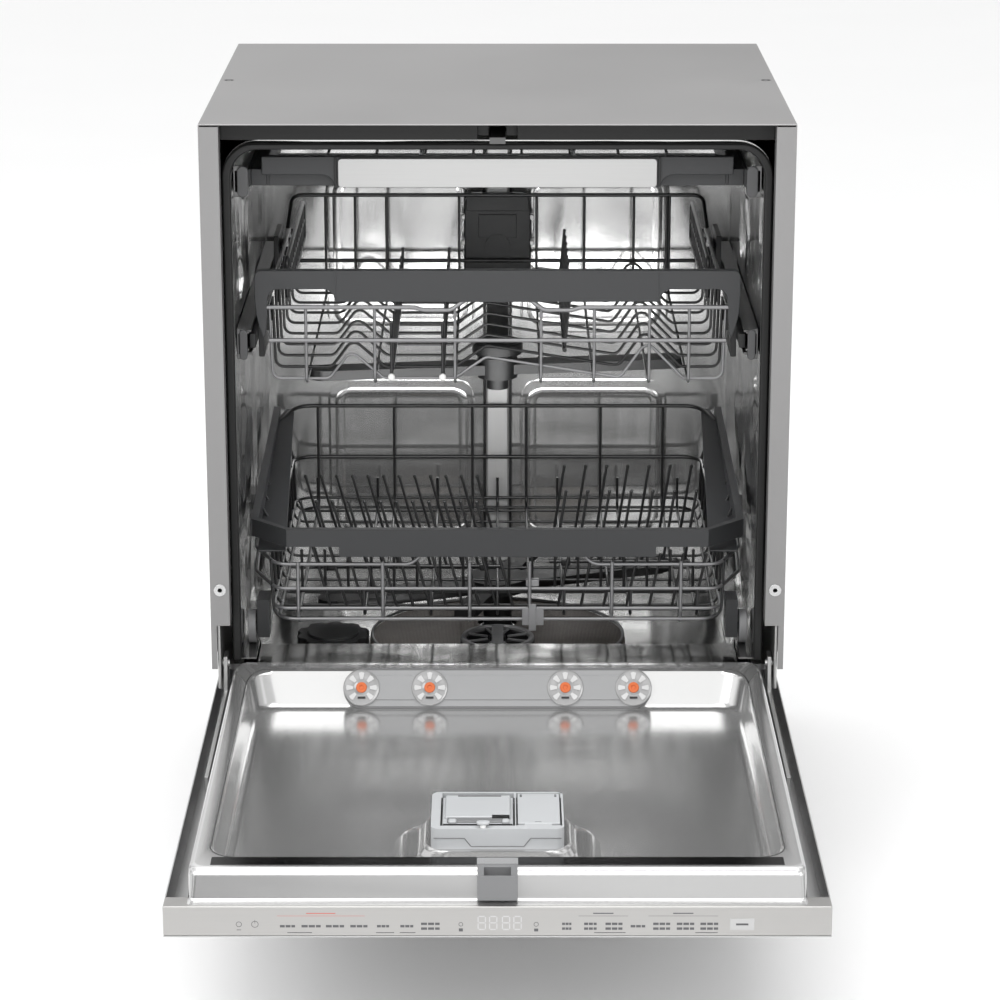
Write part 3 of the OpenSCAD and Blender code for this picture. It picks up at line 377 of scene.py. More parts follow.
def softened(node, body, finish, edge, segments=2):
    # the CAD shape with its hard edges rounded by so many millimetres
    bm = bmesh.new()
    bm.from_mesh(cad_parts[node].data)
    bmesh.ops.remove_doubles(bm, verts=bm.verts, dist=0.02 * mm)
    bmesh.ops.dissolve_limit(bm, angle_limit=math.radians(1), verts=bm.verts, edges=bm.edges)
    addPiece(node + "Piece", bevelled(bm, edge * mm, segments), body, finish, (node,))


def box(low, high):
    bm = bmesh.new()
    bmesh.ops.create_cube(bm, size=1)
    size = Vector(high) - Vector(low)
    middle = (Vector(high) + Vector(low)) / 2
    bmesh.ops.transform(bm, matrix=Matrix.Translation(middle) @ Matrix.Diagonal((*size, 1)), verts=bm.verts)
    return bm


def moved(bm, matrix):
    bmesh.ops.transform(bm, matrix=matrix, verts=bm.verts)
    return bm


def lofted(rings, closed=True):
    # rings of points joined in turn; an open one keeps its first ring as an edge
    bm = bmesh.new()
    rows = [[bm.verts.new(spot) for spot in spots] for spots in rings]
    for low, high in zip(rows, rows[1:]):
        for k in range(len(low)):
            j = (k + 1) % len(low)
            bm.faces.new((low[k], low[j], high[j], high[k]))
    bm.faces.new(rows[-1])
    if closed:
        bm.faces.new(rows[0][::-1])
    bmesh.ops.recalc_face_normals(bm, faces=bm.faces)
    return bm


def prism(outline, height):
    # a flat outline raised from z = 0
    return lofted([[(x, y, z) for x, y in outline] for z in (0, height)])


def roundedOutline(width, length, radius, steps=6):
    points = []
    for corner, (sx, sy) in enumerate(((1, 1), (-1, 1), (-1, -1), (1, -1))):
        for k in range(steps + 1):
            turn = math.radians(90 * corner + 90 * k / steps)
            points.append((sx * (width / 2 - radius) + radius * math.cos(turn),
                           sy * (length / 2 - radius) + radius * math.sin(turn)))
    return points


def lathe(profile, steps=40):
    # a profile of (radius, z) turned about z; radius 0 closes a pole
    bm = bmesh.new()
    rings = []
    for radius, z in profile:
        if radius == 0:
            rings.append([bm.verts.new((0, 0, z))])
        else:
            rings.append([bm.verts.new((radius * math.cos(2 * math.pi * k / steps),
                                        radius * math.sin(2 * math.pi * k / steps), z))
                          for k in range(steps)])
    for low, high in zip(rings, rings[1:]):
        for k in range(steps):
            j = (k + 1) % steps
            face = [low[k % len(low)], low[j % len(low)], high[j % len(high)], high[k % len(high)]]
            unique = list(dict.fromkeys(face))
            if len(unique) > 2:
                bm.faces.new(unique)
    if len(rings[0]) > 1 and profile[0] == profile[-1]:
        bmesh.ops.remove_doubles(bm, verts=bm.verts, dist=1e-7)
    bmesh.ops.recalc_face_normals(bm, faces=bm.faces)
    return bm


def facing(outline, front, back):
    # an outline of (x, z) in millimetres, given depth between two y places
    shape = prism([(x * mm, z * mm) for x, z in outline], (back - front) * mm)
    return moved(shape, Matrix.Translation((0, back * mm, 0)) @ quarterTurn)


def pillow(width, length, radius, profile):
    # a closed rounded block lofted through (growth, height) steps
    rings = []
    for grow, height in profile:
        outline = roundedOutline(width + 2 * grow, length + 2 * grow, max(radius + grow, 1.0), 8)
        rings.append([(x * mm, y * mm, height * mm) for x, y in outline])
    return lofted(rings)


def curve(middle, reach, start, end, steps=8):
    # points on part of an ellipse, angles in degrees
    turns = [math.radians(start + (end - start) * k / steps) for k in range(steps + 1)]
    return [(middle[0] + reach[0] * math.cos(t), middle[1] + reach[1] * math.sin(t)) for t in turns]


def mirrored(right):
    # a closed outline from its right half, listed from the bottom up
    return right + [(-x, z) for x, z in reversed(right)]


def boxAt(x0, x1, y0, y1, z0, z1, edge=0.6, segments=2):
    return bevelled(box(point(x0, y0, z0), point(x1, y1, z1)), edge * mm, segments)


# a Geometry Nodes tree with named inputs, run on one mesh at a time
class NodeTree:
    def __init__(self, name, sockets):
        self.tree = bpy.data.node_groups.new(name, "GeometryNodeTree")
        self.tree.interface.new_socket("Geometry", in_out="INPUT", socket_type="NodeSocketGeometry")
        self.tree.interface.new_socket("Geometry", in_out="OUTPUT", socket_type="NodeSocketGeometry")
        self.keys = {}
        for label, kind, value in sockets:
            socket = self.tree.interface.new_socket(label, in_out="INPUT", socket_type="NodeSocket" + kind)
            if value is not None:
                socket.default_value = value
            self.keys[label] = socket.identifier
        self.start = self.tree.nodes.new("NodeGroupInput")
        self.end = self.tree.nodes.new("NodeGroupOutput")

    def given(self, label):
        return self.start.outputs[label]

    def add(self, kind, settings=None, inputs=None, output=0):
        made = self.tree.nodes.new(kind)
        for key, value in (settings or {}).items():
            setattr(made, key, value)
        for key, value in (inputs or {}).items():
            if isinstance(value, bpy.types.NodeSocket):
                self.tree.links.new(value, made.inputs[key])
            else:
                made.inputs[key].default_value = value
        return made.outputs[output]

    def finish(self, geometry):
        solid = self.add("GeometryNodeRealizeInstances", None, {"Geometry": geometry})
        coloured = self.add("GeometryNodeSetMaterial", None,
                            {"Geometry": solid, "Material": self.given("Material")})
        self.tree.links.new(coloured, self.end.inputs["Geometry"])

    def run(self, mesh, values):
        obj = temporary("generated", mesh)
        modifier = obj.modifiers.new("make", "NODES")
        modifier.node_group = self.tree
        for label, value in values.items():
            modifier[self.keys[label]] = value
        return evaluated(obj)


def makeWireTree():
    made = NodeTree("bentWire", [("Wire Radius", "Float", 0.0016), ("Bend Radius", "Float", 0.008),
                                 ("Bend Steps", "Int", 5), ("Sides", "Int", 8),
                                 ("Material", "Material", None)])
    line = made.add("GeometryNodeMeshToCurve", None, {"Mesh": made.given("Geometry")})
    bend = made.add("GeometryNodeFilletCurve", {"mode": "POLY"},
                    {"Curve": line, "Radius": made.given("Bend Radius"), "Count": made.given("Bend Steps"),
                     "Limit Radius": True})
    ring = made.add("GeometryNodeCurvePrimitiveCircle", None,
                    {"Resolution": made.given("Sides"), "Radius": made.given("Wire Radius")})
    tube = made.add("GeometryNodeCurveToMesh", None,
                    {"Curve": bend, "Profile Curve": ring, "Fill Caps": True})
    made.finish(tube)
    return made


def makeTineTree():
    made = NodeTree("tineRow", [("Count", "Int", 8), ("Start", "Vector", None), ("Step", "Vector", None),
                                ("Tip", "Vector", None), ("Wire Radius", "Float", 0.0016),
                                ("Knob Radius", "Float", 0.002), ("Material", "Material", None)])
    ring = made.add("GeometryNodeCurvePrimitiveCircle", None,
                    {"Resolution": 8, "Radius": made.given("Wire Radius")})
    stem = made.add("GeometryNodeCurvePrimitiveLine", None, {"Start": (0, 0, 0), "End": made.given("Tip")})
    rod = made.add("GeometryNodeCurveToMesh", None, {"Curve": stem, "Profile Curve": ring, "Fill Caps": True})
    ball = made.add("GeometryNodeMeshUVSphere", None,
                    {"Segments": 8, "Rings": 6, "Radius": made.given("Knob Radius")})
    knob = made.add("GeometryNodeTransform", None, {"Geometry": ball, "Translation": made.given("Tip")})
    both = made.tree.nodes.new("GeometryNodeJoinGeometry")
    made.tree.links.new(rod, both.inputs[0])
    made.tree.links.new(knob, both.inputs[0])
    row = made.add("GeometryNodeMeshLine", {"mode": "OFFSET"},
                   {"Count": made.given("Count"), "Start Location": made.given("Start"),
                    "Offset": made.given("Step")})
    many = made.add("GeometryNodeInstanceOnPoints", None, {"Points": row, "Instance": both.outputs[0]})
    made.finish(many)
    return made


say("node trees")
wireTree = makeWireTree()
tineTree = makeTineTree()


def wires(paths, radius, finish, bend=8 * mm, sides=8, steps=5):
    bm = bmesh.new()
    for path in paths:
        spots = [bm.verts.new(spot) for spot in path]
        for a, b in zip(spots, spots[1:]):
            bm.edges.new((a, b))
    return wireTree.run(bm, {"Wire Radius": radius, "Bend Radius": bend, "Bend Steps": steps, "Sides": sides,
                             "Material": finishes[finish]})


def tines(start, step, count, tip, radius, knob, finish):
    return tineTree.run(bmesh.new(), {"Count": count, "Start": start, "Step": step, "Tip": tip,
                                      "Wire Radius": radius, "Knob Radius": knob,
                                      "Material": finishes[finish]})


say("cabinet")


def topPanel():
    # a flat sheet with turned-down edges and one sunk screw near each side
    sheet = {"gauge": 1.0, "edge": 0.8, "dimple": 5.2, "screwX": 289, "screwY": 271}
    low, high = boxMm("top_panel")
    top, foot = high[2], low[2]
    parts = [boxAt(low[0], high[0], low[1], high[1], top - sheet["gauge"] * 1.6, top, sheet["edge"], 3)]
    for x0, x1, y0, y1 in ((low[0] + 0.1, low[0] + 1.1, low[1] + 1, high[1] - 1),
                           (high[0] - 1.1, high[0] - 0.1, low[1] + 1, high[1] - 1),
                           (low[0] + 1, high[0] - 1, high[1] - 1.1, high[1] - 0.1)):
        parts.append(boxAt(x0, x1, y0, y1, foot, top - 0.6, 0.2))
    addPiece("topSheetPanel", joined(parts), "cabinet", "topSheet", ("top_panel",))
    # partly painted shade: each black disc stands for the screw head and, round it, the shade in its sunk
    # dimple
    heads = []
    for x in (-sheet["screwX"], sheet["screwX"]):
        profile = [(0, 0), (sheet["dimple"], 0), (sheet["dimple"], 0.12), (2.6, 0.14), (2.4, 0.05), (0, 0.05)]
        head = lathe([(radius * mm, z * mm) for radius, z in profile], 32)
        heads.append(moved(head, Matrix.Translation(point(x, sheet["screwY"], top - 0.1))))
    addPiece("topScrewDimples", joined(heads), "cabinet", "blackPlastic")


topPanel()
softened("side_panel_left", "cabinet", "sideSheet", 0.4)
softened("side_panel_right", "cabinet", "sideSheet", 0.4)
softened("front_beam", "cabinet", "darkSheet", 0.5)
softened("latch_housing", "cabinet", "blackPlastic", 0.8)
softened("latch_hook", "latch", "darkSteel", 0.8)
softened("rear_panel", "cabinet", "zinc", 0.4)
softened("base_tray", "cabinet", "blackPlastic", 2.5)
softened("levelling_feet", "cabinet", "blackPlastic", 1.2)
softened("hinge_brackets", "cabinet", "zinc", 0.5)
softened("side_fixing_bushes", "cabinet", "screwSteel", 0.4)


def coil(radius, turns, low, high, steps=18):
    path = []
    count = int(turns * steps)
    for k in range(count + 1):
        turn = 2 * math.pi * k / steps
        path.append(Vector((radius * math.cos(turn), radius * math.sin(turn),
                            low + (high - low) * k / count)))
    return path


def doorSprings():
    # a close coil with a hook and a straight rod at each end
    spring = {"turns": 26, "wire": 1.3, "coil": 7.4, "inset": 9, "end": 14, "hook": 10, "tip": 2}
    low, high = boxMm("door_springs")
    paths = []
    for side in (-1, 1):
        x = side * (high[0] - spring["inset"])
        y = (low[1] + high[1]) / 2
        turns = coil(spring["coil"] * mm, spring["turns"], (low[2] + spring["end"]) * mm,
                     (high[2] - spring["end"]) * mm)
        path = [spot + point(x, y, 0) for spot in turns]
        paths.append([point(x, y, low[2] + spring["tip"]), point(x, y, low[2] + spring["hook"])] + path
                     + [point(x, y, high[2] - spring["hook"]), point(x, y, high[2] - spring["tip"])])
    mesh = wires(paths, spring["wire"] * mm, "screwSteel", 0.5 * mm, 6, 1)
    addPiece("doorSpringCoils", mesh, "cabinet", "screwSteel", ("door_springs",), 80)


doorSprings()

say("tub")
softened("tub_wrapper", "cabinet", "tubSteel", 0.5, 2)
softened("tub_back", "cabinet", "backSteel", 1.2, 3)


def backPressings():
    # two shallow cushions on each side of the back wall, each with a rolled border
    press = {"x": 113, "heights": (330, 580), "wide": 150, "tall": 170, "corner": 16, "wall": 500}
    steps = ((12, -0.4), (12, 0.0), (9, 0.5), (6, 1.8), (3, 3.2), (0, 3.8), (-4, 3.9), (-7, 3.3),
             (-11, 2.2), (-15, 1.8), (-22, 1.7))
    pads = []
    for x in (-press["x"], press["x"]):
        for z in press["heights"]:
            pad = pillow(press["wide"], press["tall"], press["corner"], steps)
            pads.append(moved(pad, Matrix.Translation(point(x, press["wall"], z)) @ quarterTurn))
    addPiece("backPressings", joined(pads), "cabinet", "backSteel", (), 80)


backPressings()
softened("tub_floor", "cabinet", "floorSteel", 0.7, 2)
softened("door_gasket", "cabinet", "seal", 2.2, 3)


def rollerGuides():
    # fixed steel channels, and an oval cap on the front end of each sliding rail
    softened("roller_guides", "cabinet", "darkSteel", 0.5)
    for name, body, z, back, middle, wide in (("upperRailCaps", "upper_rail", 582, 54.6, 261.4, 8.2),
                                              ("cutleryRailCaps", "cutlery", 752, 61, 258.5, 11.5)):
        caps = []
        for side in (-1, 1):
            outline = roundedOutline(wide, 32, wide / 2 - 0.05, 8)
            oval = facing([(x + side * middle, h + z) for x, h in outline], 37.5, 42.4)
            caps.append(bevelled(oval, 1.2 * mm, 3))
            caps.append(boxAt(side * middle - 3, side * middle + 3, 41, back, z - 8, z + 8, 0.8))
        addPiece(name, joined(caps), body, "capPlastic")


rollerGuides()
softened("sump", "cabinet", "blackPlastic", 1.0)
softened("circulation_pump", "cabinet", "darkPlastic", 1.0)
softened("pump_impeller", "impeller", "whitePlastic", 0.4)
softened("drain_pump", "cabinet", "darkPlastic", 0.8)
softened("inlet_valve", "cabinet", "whitePlastic", 0.8)
softened("softener_tank", "cabinet", "whitePlastic", 1.5)


def feedPipe():
    # a flat steel pipe up the back wall, and the dock that the upper rack's pipe plugs into
    low, high = boxMm("feed_pipe")
    pipe = {"width": 13.8, "depth": 11.8, "clipX": 15.4}
    dock = {"bottom": 554, "top": 654, "wide": 76, "corner": 12, "lugX": 38}
    back = high[1]
    upright = boxAt(-pipe["width"], pipe["width"], back - pipe["depth"], back, low[2], high[2], 3.5, 4)
    branch = boxAt(-pipe["width"], pipe["width"], low[1], back - 6, high[2] - 9.5, high[2], 3, 3)
    addPiece("feedPipeTube", joined([upright, branch]), "cabinet", "pipeSteel", ("feed_pipe",), 40)
    edges = [boxAt(side * pipe["clipX"] - 1.4, side * pipe["clipX"] + 1.4, back - 7, back - 1, low[2],
                   high[2], 0.8) for side in (-1, 1)]
    addPiece("feedPipeClips", joined(edges), "cabinet", "darkPlastic")
    middle = (dock["bottom"] + dock["top"]) / 2
    face = back - pipe["depth"] - 12
    outline = roundedOutline(dock["wide"], dock["top"] - dock["bottom"], dock["corner"])
    shell = bevelled(facing([(x, z + middle) for x, z in outline], face, face + 11.4), 1.5 * mm, 3)
    arch = [(x, z + middle - 22) for x, z in curve((0, 8), (15, 17), 0, 180, 14)]
    arch += [(-15, middle - 44), (15, middle - 44)]
    inner = [(x * 0.72, (z - middle + 22) * 0.8 + middle - 22) for x, z in arch]
    archMesh = drilled("archRim", facing(arch, face - 2.0, face + 1), facing(inner, face - 4, face + 3))
    shelf = boxAt(-36, 36, face - 3.5, face + 2, middle + 30, middle + 48, 1.5)
    window = boxAt(-22, 22, face - 1.2, face + 2, middle - 2, middle + 26, 1.0)
    lugs = [boxAt(side * dock["lugX"] - 4, side * dock["lugX"] + 4, face + 1, face + 9, middle + z - 3,
                  middle + z + 3, 1.0)
            for side in (-1, 1) for z in (22, -8)]
    addPiece("dockHousing", joined([shell, archMesh, shelf, window]), "cabinet", "darkPlastic")
    addPiece("dockLugs", joined(lugs), "cabinet", "gripSteel")


feedPipe()
softened("ceiling_sprayer", "top_sprayer", "palePlastic", 0.8)
softened("salt_cap", "salt_closure", "darkPlastic", 1.2, 3)
softened("filter_cylinder", "filter", "darkPlastic", 0.8)


def filterGrip():
    # the filter's top ring with a finger bar across it
    low, high = boxMm("filter_cylinder")
    x, y = (low[0] + high[0]) / 2, (low[1] + high[1]) / 2
    grip = {"outer": 40.4, "inner": 34.5, "lift": 3.2, "bar": 6.5}
    top = high[2]
    outer, inner, lift = grip["outer"], grip["inner"], grip["lift"]
    profile = [(inner, -1), (outer, -1), (outer, 1.6), (outer - 1.2, lift), (inner + 1.2, lift),
               (inner, 1.6), (inner, -1)]
    rimRing = lathe([(radius * mm, z * mm) for radius, z in profile], 64)
    parts = [moved(rimRing, Matrix.Translation(point(x, y, top - 3)))]
    parts.append(boxAt(x - grip["bar"], x + grip["bar"], y - grip["inner"] - 2, y + grip["inner"] + 2,
                       top - 2, top + 1.6, 1.6, 3))
    for turn in range(8):
        angle = math.radians(22.5 + 45 * turn)
        spoke = boxAt(12, grip["inner"] + 2, -1.3, 1.3, -3.4, -1.2, 0.4)
        bm = bmesh.new()
        bm.from_mesh(spoke)
        parts.append(moved(bm, Matrix.Translation(point(x, y, top)) @ Matrix.Rotation(angle, 4, "Z")))
    addPiece("filterGripRing", joined(parts), "filter", "rimPlastic")


filterGrip()
softened("filter_plate", "cabinet", "filterMesh", 0.8)
softened("lower_spray_arm", "lower_arm", "blackPlastic", 2.0, 3)


def plateRim():
    # the rolled dark edge round the fine filter plate
    low, high = boxMm("filter_plate")
    x, y = (low[0] + high[0]) / 2, (low[1] + high[1]) / 2
    across, along = (high[0] - low[0]) / 2 - 2, (high[1] - low[1]) / 2 - 2
    path = [point(x + across * math.cos(t), y + along * math.sin(t), high[2] + 0.8)
            for t in (2 * math.pi * k / 72 for k in range(72))]
    addPiece("filterPlateRim", wires([loop(path)], 1.8 * mm, "rimPlastic", 0.5 * mm, 8, 1), "cabinet",
             "rimPlastic", (), 60)


plateRim()


def lowerBasket():
    # bent floor and cross wires, front wires in a light grey lit copy of the coat as painted light, fixed
    # tines and the flat rails on both sides
    rack = {"thin": 1.6, "frame": 2.4, "crossCount": 10, "floorWires": 7, "side": 238, "bend": 14,
            "tine": 1.6, "tineBar": 2.2, "rail": 2.4, "rearRowY": 116, "nearRowY": 84}
    low, high = boxMm("lower_rack_basket")
    front, back = low[1] + 3, high[1] - 4
    floor = low[2] + 3
    top = high[2] - 2.5
    side = rack["side"]
    columns = [-211, -121.5, -29.5, 34, 121, 194]
    thin = []
    for x in columns:
        thin.append([point(x, front, floor + 64), point(x, front, floor + 3), point(x, back - 2, floor + 3),
                     point(x, back, top)])
    for k in range(rack["floorWires"]):
        x = -side + 26 + k * (2 * side - 52) / (rack["floorWires"] - 1)
        thin.append([point(x, front + 1, floor + 36), point(x, front + 1, floor + 3),
                     point(x, back - 4, floor + 3), point(x, back - 4, floor + 40)])
    for k in range(rack["crossCount"]):
        y = front + 8 + k * (back - front - 16) / (rack["crossCount"] - 1)
        rise = floor + 92 + 18 * k / (rack["crossCount"] - 1)
        edge = side + 16 if y > front + 34 else side + 2
        rise = rise if y > front + 34 else floor + 66
        thin.append([point(-edge, y, rise), point(-side - 2, y, floor + 66), point(-side, y, floor),
                     point(side, y, floor), point(side + 2, y, floor + 66), point(edge, y, rise)])
    paintedLitPaths = []
    rings = []
    for z, grow in ((floor + 2, -6), (floor + 14, 0)):
        paintedLitPaths.append([point(-side - grow, front + 60, z), point(-side - grow, front - 1, z),
                       point(side + grow, front - 1, z), point(side + grow, front + 60, z)])
        rings.append([point(-side - grow, front + 60, z), point(-side - grow, back, z),
                      point(side + grow, back, z), point(side + grow, front + 60, z)])
    midLine, highLine = floor + 36, floor + 63
    paintedLitPaths.append([point(-262, front + 150, midLine + 8), point(-258, front + 44, midLine + 5),
                   point(-side + 4, front - 1, midLine),
                   point(side - 4, front - 1, midLine), point(258, front + 44, midLine + 5),
                   point(262, front + 150, midLine + 8)])
    for mirror, foot in ((-1, 76), (1, 86)):
        paintedLitPaths.append([point(mirror * 262, front + 150, highLine + 8),
                       point(mirror * 258, front + 44, highLine + 5),
                       point(mirror * (side - 4), front - 1, highLine),
                       point(mirror * (foot + 14), front - 1, highLine),
                       point(mirror * foot, front + 2, highLine + 16),
                       point(mirror * (foot - 22), front + 3, highLine + 18)])
    thick = [[point(-side - 2, front + 50, floor + 64), point(-side - 2, back + 1, floor + 64),
              point(side + 2, back + 1, floor + 64), point(side + 2, front + 50, floor + 64)],
             [point(-side - 14, back - 40, top - 8), point(-side + 2, back + 1, top),
              point(side - 2, back + 1, top), point(side + 14, back - 40, top - 8)]]
    for x in columns:
        paintedLitPaths.append([point(x, front - 3, floor + 66), point(x, front - 3, floor - 4),
                       point(x, front + 16, floor - 4)])
    meshes = [wires(thin, rack["thin"] * mm, "wire", rack["bend"] * mm),
              wires(rings, (rack["thin"] + 0.2) * mm, "wire", 22 * mm),
              wires(thick, rack["frame"] * mm, "wire", 24 * mm)]
    rearY, nearY = rack["rearRowY"], rack["nearRowY"]
    tine, tineBar = rack["tine"] * mm, rack["tineBar"] * mm
    row = tines(point(-210, rearY, floor + 16), point(420 / 17, 0, 0), 18, point(0, -4, 46), tine, 1.9 * mm,
                "wire")
    bar = wires([[point(-side + 14, rearY, floor + 16), point(side - 14, rearY, floor + 16)]], tineBar,
                "wire")
    near = [tines(point(-178, nearY, floor + 6), point(195 / 11, 0, 0), 12, point(-20, 0, 76), tine,
                  tineBar, "wire"),
            tines(point(64, nearY, floor + 6), point(146 / 6, 0, 0), 7, point(12, 0, 60), tine, tineBar,
                  "wire"),
            wires([[point(-side + 10, nearY, floor + 6), point(side - 10, nearY, floor + 6)]], tineBar,
                  "wire")]
    addPiece("lowerBasketWires", joined(meshes + [row, bar] + near), "lower_rack", "wire",
             ("lower_rack_basket",), 60)
    # painted light: the front wires take a light grey copy of the dark wire coat, standing in for the lamps
    # lighting them
    addPiece("lowerBasketFront", wires(paintedLitPaths, (rack["thin"] + 0.3) * mm, "paintedLitWire", 18 * mm),
             "lower_rack", "paintedLitWire", (), 60)
    plates = []
    corners = [(224, 70, 351), (254, 70, 351), (258, 430, 394), (248, 468, 399), (238, 468, 399)]
    for mirror in (-1, 1):
        plate = lofted([[point(mirror * x, y, z - drop) for x, y, z in corners]
                        for drop in (0, rack["rail"])])
        plates.append(bevelled(plate, 1.0 * mm))
    addPiece("lowerSideRails", joined(plates), "lower_rack", "grip")
    # painted light: the front clip shares the light grey lit copy of the wire coat
    clip = [boxAt(26, 49, front - 5.2, front - 3.4, floor - 4, floor + 15, 0.5),
            boxAt(33, 41, front - 6, front - 3.4, floor - 10, floor + 20, 0.8),
            boxAt(30, 44, front - 2, front + 6, floor + 38, floor + 46, 1.4)]
    addPiece("lowerRackClip", joined(clip), "lower_rack", "paintedLitWire")


def tineRow(node, body):
    # one folding row: a bar in two clips, and upright prongs with rounded ends
    low, high = boxMm(node)
    left = "left" in node
    count = 12 if left else 7
    lean = -20 if left else 12
    y, z = (low[1] + high[1]) / 2, low[2] + 2.5
    first = low[0] + 3 - lean if left else low[0] + 6
    last = high[0] - 6 if left else high[0] - 4 - lean
    row = tines(point(first, y, z), point((last - first) / (count - 1), 0, 0), count,
                point(lean, 0, high[2] - z - 2.2), 1.6 * mm, 2.2 * mm, "wire")
    bar = wires([[point(first - 6, y, z), point(last + 6, y, z)]], 2.3 * mm, "wire")
    clips = []
    for x in (first + 12, last - 12):
        clips.append(bevelled(box(point(x - 5, y - 4, z - 4.4), point(x + 5, y + 4, z + 3.6)), 1.2 * mm, 2))
    addPiece(node + "Row", joined([row, bar] + clips), body, "wire", (node,), 60)


def upperBasket():
    rack = {"thin": 1.6, "frame": 2.3, "waves": 9, "side": 236, "bend": 9}
    low, high = boxMm("upper_rack_basket")
    handleTop = boxMm("upper_rack_handle")[1][2]
    floor = handleTop - 121 + 5
    front, back = low[1] + 4, high[1] - 4
    side = rack["side"]
    rim = floor + 78
    wave = ((-1, 76), (-0.99, 0), (-0.74, 0), (-0.645, 30), (-0.5, 0), (-0.19, 0), (-0.05, 23), (0.54, 1),
            (0.655, 40), (0.82, 0), (0.99, 0), (1, 76))
    thin = []
    paintedLitPaths = []
    for k in range(rack["waves"]):
        y = front + 8 + k * (back - front - 16) / (rack["waves"] - 1)
        (paintedLitPaths if k == 0 else thin).append([point(share * side, y, floor + rise) for share, rise in wave])
    for x in (-198, -127, -44, 45, 100, 157, 198):
        thin.append([point(x, front + 30, floor - 3.4), point(x, back, floor - 3.4),
                     point(x, back, floor + 112)])
        paintedLitPaths.append([point(x, front, rim), point(x, front, floor - 3.4), point(x, front + 30, floor - 3.4)])
    for x in (-198, -164, -128, -44, 45, 100, 157, 195):
        thin.append([point(x, back, floor + 6), point(x, back, floor + 112)])
    dip = [point(-side - 2, front - 2, rim), point(-86, front - 2, rim), point(-76, front - 2, rim - 3),
           point(-48, front - 2, rim - 3), point(-32, front - 2, rim + 9), point(32, front - 2, rim + 9),
           point(48, front - 2, rim - 3), point(76, front - 2, rim - 3), point(86, front - 2, rim),
           point(side + 2, front - 2, rim)]
    heavy = [dip, [point(-side, front - 2, floor + 43), point(side, front - 2, floor + 43)]]
    thick = [[point(side + 2, front - 2, rim), point(side + 3, back - 20, rim)],
             [point(-side - 2, front - 2, rim), point(-side - 3, back - 20, rim)],
             [point(-side, back + 2, floor + 36), point(side, back + 2, floor + 36)],
             [point(-side - 3, back - 40, rim + 6), point(-side, back + 2, floor + 113),
              point(side, back + 2, floor + 113), point(side + 3, back - 40, rim + 6)]]
    knobs = []
    prongs = []
    for x in (-110, -57):
        prongs.append(tines(point(x, front + 46, floor + 3), point(0, (back - front - 90) / 7, 0), 8,
                            point(2, 0, 57), 1.6 * mm, 2.0 * mm, "wire"))
        prongs.append(wires([[point(x, front + 4, floor + 3), point(x, back - 6, floor + 3)]], 2.0 * mm,
                            "wire"))
        prongs.append(wires([[point(x, front + 6, floor + 3), point(x, front + 6, floor + 60)]], 1.6 * mm,
                            "wire"))
        knobs.append(moved(lathe([(0, 0), (3.2 * mm, 0), (3.6 * mm, 1.2 * mm), (3.4 * mm, 4.4 * mm),
                                  (2.2 * mm, 5.6 * mm),
                                  (0, 5.9 * mm)], 24), Matrix.Translation(point(x, front + 3.4, floor + 3))
                           @ quarterTurn))
    # painted light: the upper rack's wires take a slightly lighter copy of the wire coat than the lower rack
    meshes = [wires(thin, rack["thin"] * mm, "paintedLighterWire", rack["bend"] * mm),
              wires(thick, rack["frame"] * mm, "paintedLighterWire", 12 * mm)] + prongs
    addPiece("upperBasketWires", joined(meshes), "upper_rack", "paintedLighterWire", ("upper_rack_basket",), 60)
    # painted light: the first wave, the front uprights and the dipped front rim take the light grey lit copy
    # of the wire coat
    frontMesh = joined([wires(paintedLitPaths, rack["thin"] * mm, "paintedLitWire", rack["bend"] * mm),
                        wires(heavy, rack["frame"] * mm, "paintedLitWire", 12 * mm)])
    addPiece("upperBasketFront", frontMesh, "upper_rack", "paintedLitWire", (), 60)
    addPiece("upperTineKnobs", joined(knobs), "upper_rack", "whitePlastic")
    clips = []
    for side in (-1, 1):
        for y in (130, 380):
            x = side * 241.5
            clips.append(bevelled(box(point(x - 1.9, y - 24, floor + 41),
                                      point(x + 1.9, y + 24, floor + 77)), 1 * mm, 2))
            clips.append(bevelled(box(point(x - 3 * side - 2, y - 10, floor + 48),
                                      point(x - 3 * side + 2, y + 10, floor + 70)), 1.2 * mm, 2))
    addPiece("adjusterClips", joined(clips), "upper_rack", "darkPlastic")


def upperTineRow():
    low, high = boxMm("upper_tines")
    x, z = low[0] + 2.5, low[2] + 2.5
    count = 10
    first, last = low[1] + 10, high[1] - 10
    # painted light: the slightly lighter copy of the wire coat, as on the rest of the upper rack
    row = tines(point(x, first, z), point(0, (last - first) / (count - 1), 0), count,
                point(6, 0, high[2] - z - 2.2), 1.6 * mm, 2.1 * mm, "paintedLighterWire")
    bar = wires([[point(x, low[1] + 1, z), point(x, high[1] - 1, z)]], 2.3 * mm, "paintedLighterWire")
    addPiece("upperTineRow", joined([row, bar]), "upper_tine_row", "paintedLighterWire", ("upper_tines",), 60)


